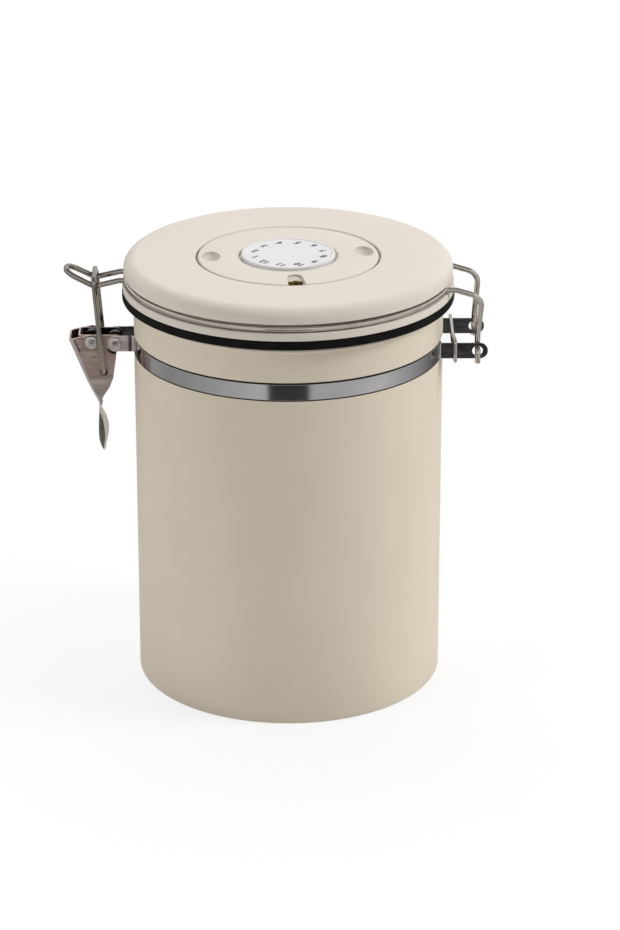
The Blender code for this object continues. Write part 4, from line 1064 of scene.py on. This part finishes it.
def lid_shell():
    top_inner = LID_TOP - LID_WALL
    side_inner = GROOVE_WALL - LID_WALL
    flange_inner = 0.0510
    well_outer = WELL_RADIUS + LID_WALL
    points = profile([
        (0, CHAMBER_TOP, 0),
        (WELL_RADIUS, CHAMBER_TOP, 0.0005),
        (WELL_RADIUS, LEDGE_BOTTOM, 0),
        (LEDGE_RADIUS, LEDGE_BOTTOM, 0.0002),
        (LEDGE_RADIUS, LEDGE_TOP, 0.0002),
        (WELL_RADIUS, LEDGE_TOP, 0),
        (WELL_RADIUS, COVER_TOP, 0.0006),
        (WELL_RADIUS + 0.0150, LID_TOP, 0.0200),
        (SKIRT_RADIUS, LID_TOP, LID_EDGE),
        (SKIRT_RADIUS, SKIRT_BOTTOM, 0.0004),
        (GROOVE_WALL, SKIRT_BOTTOM, 0.0002),
        (GROOVE_WALL, FLANGE_TOP, 0.0002),
        (FLANGE_RADIUS, FLANGE_TOP, 0.0006),
        (FLANGE_RADIUS, LID_BOTTOM, 0.0004),
        (flange_inner, LID_BOTTOM, 0),
        (flange_inner, LID_BOTTOM + LID_WALL, 0),
        (side_inner, LID_BOTTOM + LID_WALL, 0),
        (side_inner, SKIRT_BOTTOM + LID_WALL, 0),
        (side_inner - LID_WALL, top_inner, 0),
        (well_outer, top_inner, 0),
        (well_outer, CHAMBER_BOTTOM, 0),
        (0, CHAMBER_BOTTOM, 0),
    ], 10)
    piece = lathe("lid_top", points, FINE_ROUND)
    dress(piece, "lid", LID, "lid_plastic", "lid_shell")


def gasket():
    inner = 0.0537
    points = profile([
        (inner, GASKET_TOP, 0),
        (GASKET_RADIUS, GASKET_TOP, 0.0007),
        (GASKET_RADIUS, GASKET_BOTTOM, 0.0007),
        (inner, GASKET_BOTTOM, 0),
    ], closed=True)
    piece = lathe("seal_ring", points, FINE_ROUND, closed=True)
    dress(piece, "lid", RUBBER, "seal_rubber", "lid_gasket")


SCREW_PLACES = [polar(0.0450, math.radians(45 + 90 * index), 0) for index in range(4)]


def liner():
    bottom = 0.1524
    ledge = 0.1548
    hole = 0.0160
    inner = 0.0518
    outer = 0.0534
    rim = 0.0552
    points = profile([
        (hole, LINER_FLOOR, 0),
        (inner - 0.0012, LINER_FLOOR, 0.0010),
        (inner, ledge, 0),
        (inner, GASKET_TOP, 0),
        (outer, GASKET_TOP, 0),
        (outer, GASKET_BOTTOM - GAP, 0),
        (rim, GASKET_BOTTOM - GAP, 0.0004),
        (rim, ledge, 0.0006),
        (rim - 0.0030, bottom, 0.0012),
        (hole, bottom, 0.0002),
    ], closed=True)
    piece = lathe("liner_plug", points, ROUND, closed=True)
    tools = []
    for place in SCREW_PLACES:
        tools.append(cut(piece, drum(0.0015, place + Vector((0, 0, bottom)), 0.006)))
    settle(piece, tools)
    dress(piece, "lid", LINER, "lid_plastic", "lid_liner")


def liner_screws():
    tip = 0.1638
    shank = 0.0012
    head = 0.0028
    edge = LINER_UNDER - 0.0004
    bottom = LINER_UNDER - 0.0012
    drive, slim = 0.0017, 0.0003
    points = [(0, tip), (0.0006, tip), (shank, tip - 0.0012), (shank, LINER_UNDER)]
    points += [(head - 0.0001, LINER_UNDER), (head, LINER_UNDER - 0.0002), (head, edge)]
    for step in range(1, 6):
        angle = math.pi / 2 * step / 6
        points.append((head * math.cos(angle), edge - 0.0008 * math.sin(angle)))
    points.append((0, bottom))
    outline = [(-drive, -slim), (drive, -slim), (drive, slim), (-drive, slim)]
    for index, place in enumerate(SCREW_PLACES, 1):
        piece = lathe(f"plug_screw_{index}", points, 32)
        slots = []
        for degrees in (25, 115):
            bar = prism("drive", outline, bottom - 0.0008, bottom + 0.0006)
            bar.rotation_euler = (0, 0, math.radians(degrees))
            slots.append(cut(piece, bar))
        settle(piece, slots)
        piece.location = place
        settle(piece)
        dress(piece, "lid", SCREW, "screw_steel", f"liner_screw_{index}")


def filter_parts():
    top = LINER_UNDER
    bottom = top - 0.0012
    collar = 0.0157
    collar_inner = collar - 0.0014
    points = profile([
        (0, top, 0),
        (collar_inner, top, 0),
        (collar_inner, LINER_FLOOR, 0),
        (collar, LINER_FLOOR, 0),
        (collar, top, 0),
        (0.0184, top, 0),
        (0.0184, bottom, 0.0005),
        (0, bottom, 0),
    ])
    piece = lathe("filter_grille", points, 128)
    pitch = 0.0038
    slot_half = 0.0008
    reach = collar_inner - 0.0022
    count = int(reach / pitch)
    tools = []
    for index in range(-count, count + 1):
        offset = index * pitch
        length = math.sqrt(reach ** 2 - offset ** 2) - slot_half
        outline = arc((length, offset), slot_half, -math.pi / 2, math.pi / 2, 8)
        outline += arc((-length, offset), slot_half, math.pi / 2, math.pi * 1.5, 8)
        tools.append(cut(piece, prism("slot", outline, top - 0.003, top + 0.001)))
    settle(piece, tools)
    dress(piece, "lid", LINER, "lid_plastic", "filter_retainer")


# Cover and dial
NOTCH_ANGLE = math.radians(-84.5)
NOTCH_END = COVER_RADIUS + 0.002
DIMPLE_RADIUS = 0.0037
DIMPLE_DEPTH = 0.0023


def lug(middle):
    """Bayonet lug under the cover's edge."""
    low, high = middle - math.radians(11), middle + math.radians(11)
    outline = arc((0, 0), 0.03415, low, high, 10) + arc((0, 0), 0.03155, high, low, 10)
    return prism("lug", outline, 0.1683, 0.1697)


def dimple(angle):
    """Hollow for a finger."""
    ball = basic_shape(
        "dimple", bmesh.ops.create_uvsphere, u_segments=64, v_segments=64, radius=DIMPLE_RADIUS
    )
    place = polar(0.03025, angle, COVER_TOP)
    scale = (1, 1.6, DIMPLE_DEPTH / DIMPLE_RADIUS)
    return put(ball, location=place, rotation_euler=(0, 0, angle), scale=scale)


def notch():
    """Sloping notch in the cover's top, at its edge."""
    start = COVER_RADIUS - 0.0118
    half = 0.0037
    round_half = 0.00295
    outline = [(NOTCH_END, -half), (NOTCH_END, half)]
    outline += arc((start + round_half, 0), round_half, math.pi / 2, math.pi * 1.5, 24)
    ramp = prism("notch", outline, -0.0007, 0.0042)
    lean = math.atan2(0.0014, 0.0118)
    spin = Matrix.Rotation(NOTCH_ANGLE, 4, "Z")
    tilt = Matrix.Translation((start, 0, COVER_TOP)) @ Matrix.Rotation(lean, 4, "Y")
    ramp.matrix_world = spin @ tilt @ Matrix.Translation((-start, 0, 0))
    return ramp


def valve_cover():
    under = 0.1716
    edge = 0.1722
    skirt = 0.1676
    hub = 0.0033
    skirt_outer = 0.03235
    skirt_inner = 0.03075
    crisp = 0.0002
    points = profile([
        (hub, RECESS_FLOOR, 0),
        (DIAL_RECESS, RECESS_FLOOR, crisp),
        (DIAL_RECESS, COVER_TOP, 0.0005),
        (COVER_RADIUS, COVER_TOP, 0.0005),
        (COVER_RADIUS, edge, crisp),
        (skirt_outer, edge, 0),
        (skirt_outer, skirt, crisp),
        (skirt_inner, skirt, crisp),
        (skirt_inner, under, 0),
        (hub, under, 0),
    ], closed=True)
    piece = lathe("cover_top", points, ROUND, closed=True)
    tools = [cut(piece, lug(math.radians(30 + 120 * index)), "UNION") for index in range(3)]
    tools += [cut(piece, dimple(math.radians(degrees))) for degrees in (183, 9)]
    tools.append(cut(piece, notch()))
    start = COVER_RADIUS - 0.0078
    half = 0.0029
    outline = [(NOTCH_END, -half), (NOTCH_END, half), (start + 0.0008, half)]
    outline += arc((start + 0.0016, 0), 0.0016, math.radians(120), math.radians(240), 10)
    outline.append((start + 0.0008, -half))
    vent = prism("vent", outline, 0.1696, 0.1769)
    vent.rotation_euler = (0, 0, NOTCH_ANGLE)
    tools.append(cut(piece, vent))
    settle(piece, tools, 30)
    dress(piece, "cover", LID, "lid_plastic", "valve_cover")
    second_coat(
        piece,
        LID_SHADE,
        lambda at, _: 0.1718 < at.z < COVER_TOP - 0.0002
        and 0.0202 < math.hypot(at.x, at.y) < COVER_RADIUS - 0.0003,
    )
    vent_start = math.hypot(start + 0.0010, half)
    # Painted shade on the vent's walls, for its dark inside
    second_coat(
        piece,
        VENT_PAINTED_SHADE,
        lambda at, out: at.z < 0.1733
        and abs(out.z) < 0.5
        and 0.0250 < math.hypot(at.x, at.y) < vent_start
        and abs(math.atan2(at.y, at.x) - NOTCH_ANGLE) < 0.15,
    )


def dial():
    face = DIAL_TOP - DIAL_SINK
    under = DIAL_TOP - 0.0020
    hub = 0.0030
    hub_bottom = 0.1713
    bore_radius = 0.0015
    points = profile([
        (0, face, 0),
        (DIAL_RADIUS - 0.0013, face, 0.0001),
        (DIAL_RADIUS - 0.0010, DIAL_TOP, 0.0001),
        (DIAL_RADIUS, DIAL_TOP, 0.0005),
        (DIAL_RADIUS, under, 0.0002),
        (hub, under, 0),
        (hub, hub_bottom, 0),
        (bore_radius, hub_bottom, 0),
        (bore_radius, RECESS_FLOOR, 0),
        (0, RECESS_FLOOR, 0),
    ], 5)
    dress(lathe("dial_disc", points, 160), "dial", DIAL, "dial_plastic", "date_dial")


def numbers():
    """Plain numbers 1 to 12 round the dial, all the same way up."""
    turn = math.radians(136)
    for hour in range(1, 13):
        words = bpy.data.curves.new("hour", "FONT")
        put(words, body=str(hour), size=0.0042, offset=0.00013, extrude=0.00003)
        put(words, align_x="CENTER", align_y="CENTER", resolution_u=6)
        guide = add_object("hour_guide", words)
        angle = turn + math.pi / 2 - math.radians(30 * hour)
        place = polar(0.01385, angle, DIAL_TOP - DIAL_SINK) + Vector((0.0005, -0.0003, 0))
        guide.matrix_world = Matrix.Translation(place) @ Matrix.Rotation(turn, 4, "Z")
        bpy.context.view_layer.update()
        graph = bpy.context.evaluated_depsgraph_get()
        mesh = bpy.data.meshes.new_from_object(guide.evaluated_get(graph))
        mesh.transform(guide.matrix_world)
        bpy.data.objects.remove(guide, do_unlink=True)
        dress(add_object(f"hour_{hour}", mesh), "dial", INK, "dial_plastic")


# Build
canister()
strap("band_front", -1, "strap_front")
strap("band_rear", 1, "strap_rear")
hinge_ring()
latch_bracket()
for label, side in (("front", -1), ("rear", 1)):
    rivet("ear_rivet_" + label, LATCH_EAR_X, BAND_MID, side, "bracket_rivet_" + label)
    rivet("pivot_rivet_" + label, LEVER_X, LATCH_Z, side, "lever_rivet_" + label)
latch_lever()
latch_link()
bail()
lid_shell()
gasket()
liner()
liner_screws()
filter_parts()
valve_cover()
dial()
numbers()

# CAD pieces that keep their own form
for node, material in (("filter_disc", FELT), ("valve_flap", RUBBER), ("dial_screw", SCREW)):
    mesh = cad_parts[node].data
    mesh.materials.clear()
    mesh.materials.append(material)


# Stage
FLOOR_RADIUS = 0.36
FLOOR_IN_METAL = 0.45
# Brightness of the white room as metal shows it: (degrees from the front, value)
ROOM_SHINE = (
    (-180, 0.10), (-157, 0.08), (-152, 0.12), (-130, 0.12), (-122, 0.45), (-100, 0.38),
    (-69, 0.45), (-36, 0.60), (-16, 0.75), (-14.5, 0.045), (14.5, 0.045), (16, 0.60),
    (43, 0.62), (72, 0.75), (100, 0.50), (118, 0.35), (138, 0.12), (156, 0.12),
    (162, 1.00), (180, 1.00),
)
# The same above the horizon: (height of the direction's Z, value)
ROOM_ABOVE = (
    (0.0, 0.10), (0.04, 0.15), (0.08, 0.75), (0.70, 0.80), (0.77, 0.16), (0.88, 0.12), (1.0, 0.40),
)
# Its light on matt surfaces, from the front to the back, and from below
ROOM_LIGHT = ((0.0, 0.12), (0.30, 0.20), (0.60, 0.40), (1.0, 0.55))
ROOM_BELOW = 0.68
MIDDLE = (0, 0, 0.10)


def stage_floor():
    """Round white floor that fades into the white background at its edge."""
    count = 96
    corners = [tuple(polar(FLOOR_RADIUS, 2 * math.pi * step / count, 0)) for step in range(count)]
    mesh = bpy.data.meshes.new("floor")
    mesh.from_pydata(corners, [], [tuple(range(count))])
    floor = put(add_object("floor", mesh), location=(0, 0, -0.0001))
    n = Nodes(bpy.data.materials.new("floor"), fresh=True)
    reach = n.node("VectorMath", {0: n.place}, operation="LENGTH").outputs["Value"]
    share = n.math("MULTIPLY", n.seen_straight(), n.ramp(reach, 0.80, 1.0, 0.09, 0.22))
    strength = n.math("MULTIPLY_ADD", n.seen_by_camera(), 1 - FLOOR_IN_METAL, FLOOR_IN_METAL)
    matte = n.node("BsdfDiffuse", {"Color": (0.90, 0.90, 0.90)})
    glow = n.node("Emission", {"Color": (1, 1, 1), "Strength": strength})
    n.show("Material", share, matte, glow)
    mesh.materials.append(n.owner)


def studio():
    """White to the camera, a room with soft panels to metal, and soft light all round."""
    n = Nodes(bpy.data.worlds.new("studio"), "Generated", fresh=True)
    bpy.context.scene.world = n.owner
    x, y, z = n.axes()
    along = n.math("MULTIPLY_ADD", y, 0.5, 0.5)
    light = n.mix(n.math("LESS_THAN", z, 0.0), n.greys(along, ROOM_LIGHT), (ROOM_BELOW,) * 3)
    turn = n.math("ARCTAN2", x, n.math("MULTIPLY", y, -1.0))
    around = n.math("MULTIPLY_ADD", turn, 0.5 / math.pi, 0.5)
    shine = n.greys(around, [(degrees / 360 + 0.5, value) for degrees, value in ROOM_SHINE])
    room = n.mix(n.ramp(z, 0.0, 1.0, -0.06, 0.02), shine, n.greys(z, ROOM_ABOVE))
    seen = n.mix(n.seen_by_camera(), room, (1, 1, 1))
    matt_light = n.node("Background", {"Color": light})
    n.show("World", n.seen_straight(), matt_light, n.node("Background", {"Color": seen}))


def aim(holder, direction):
    holder.rotation_euler = Vector(direction).to_track_quat("-Z", "Y").to_euler()


def lamp(name, place, size, power):
    """Soft round lamp, turned to the middle of the can and not seen in metal."""
    light = put(bpy.data.lights.new(name, "AREA"), shape="DISK", size=size, energy=power)
    holder = put(add_object(name, light), location=place, visible_glossy=False)
    aim(holder, Vector(MIDDLE) - Vector(place))


def camera():
    data = bpy.data.cameras.new("camera")
    put(data, sensor_width=36, lens=3469.95 * 36 / 930, clip_start=0.01)
    holder = put(add_object("camera", data), location=(0.0, -1.29213, 0.60718))
    aim(holder, (0.00612361, 0.92731505, -0.37423162))
    bpy.context.scene.camera = holder


stage_floor()
studio()
lamp("key", (1.55, -0.20, 1.20), 0.9, 24)
lamp("fill", (-1.45, -0.75, 0.75), 0.9, 9)
lamp("top", (-0.10, 0.60, 1.65), 1.2, 11)
camera()
bpy.context.scene.view_settings.view_transform = "Standard"
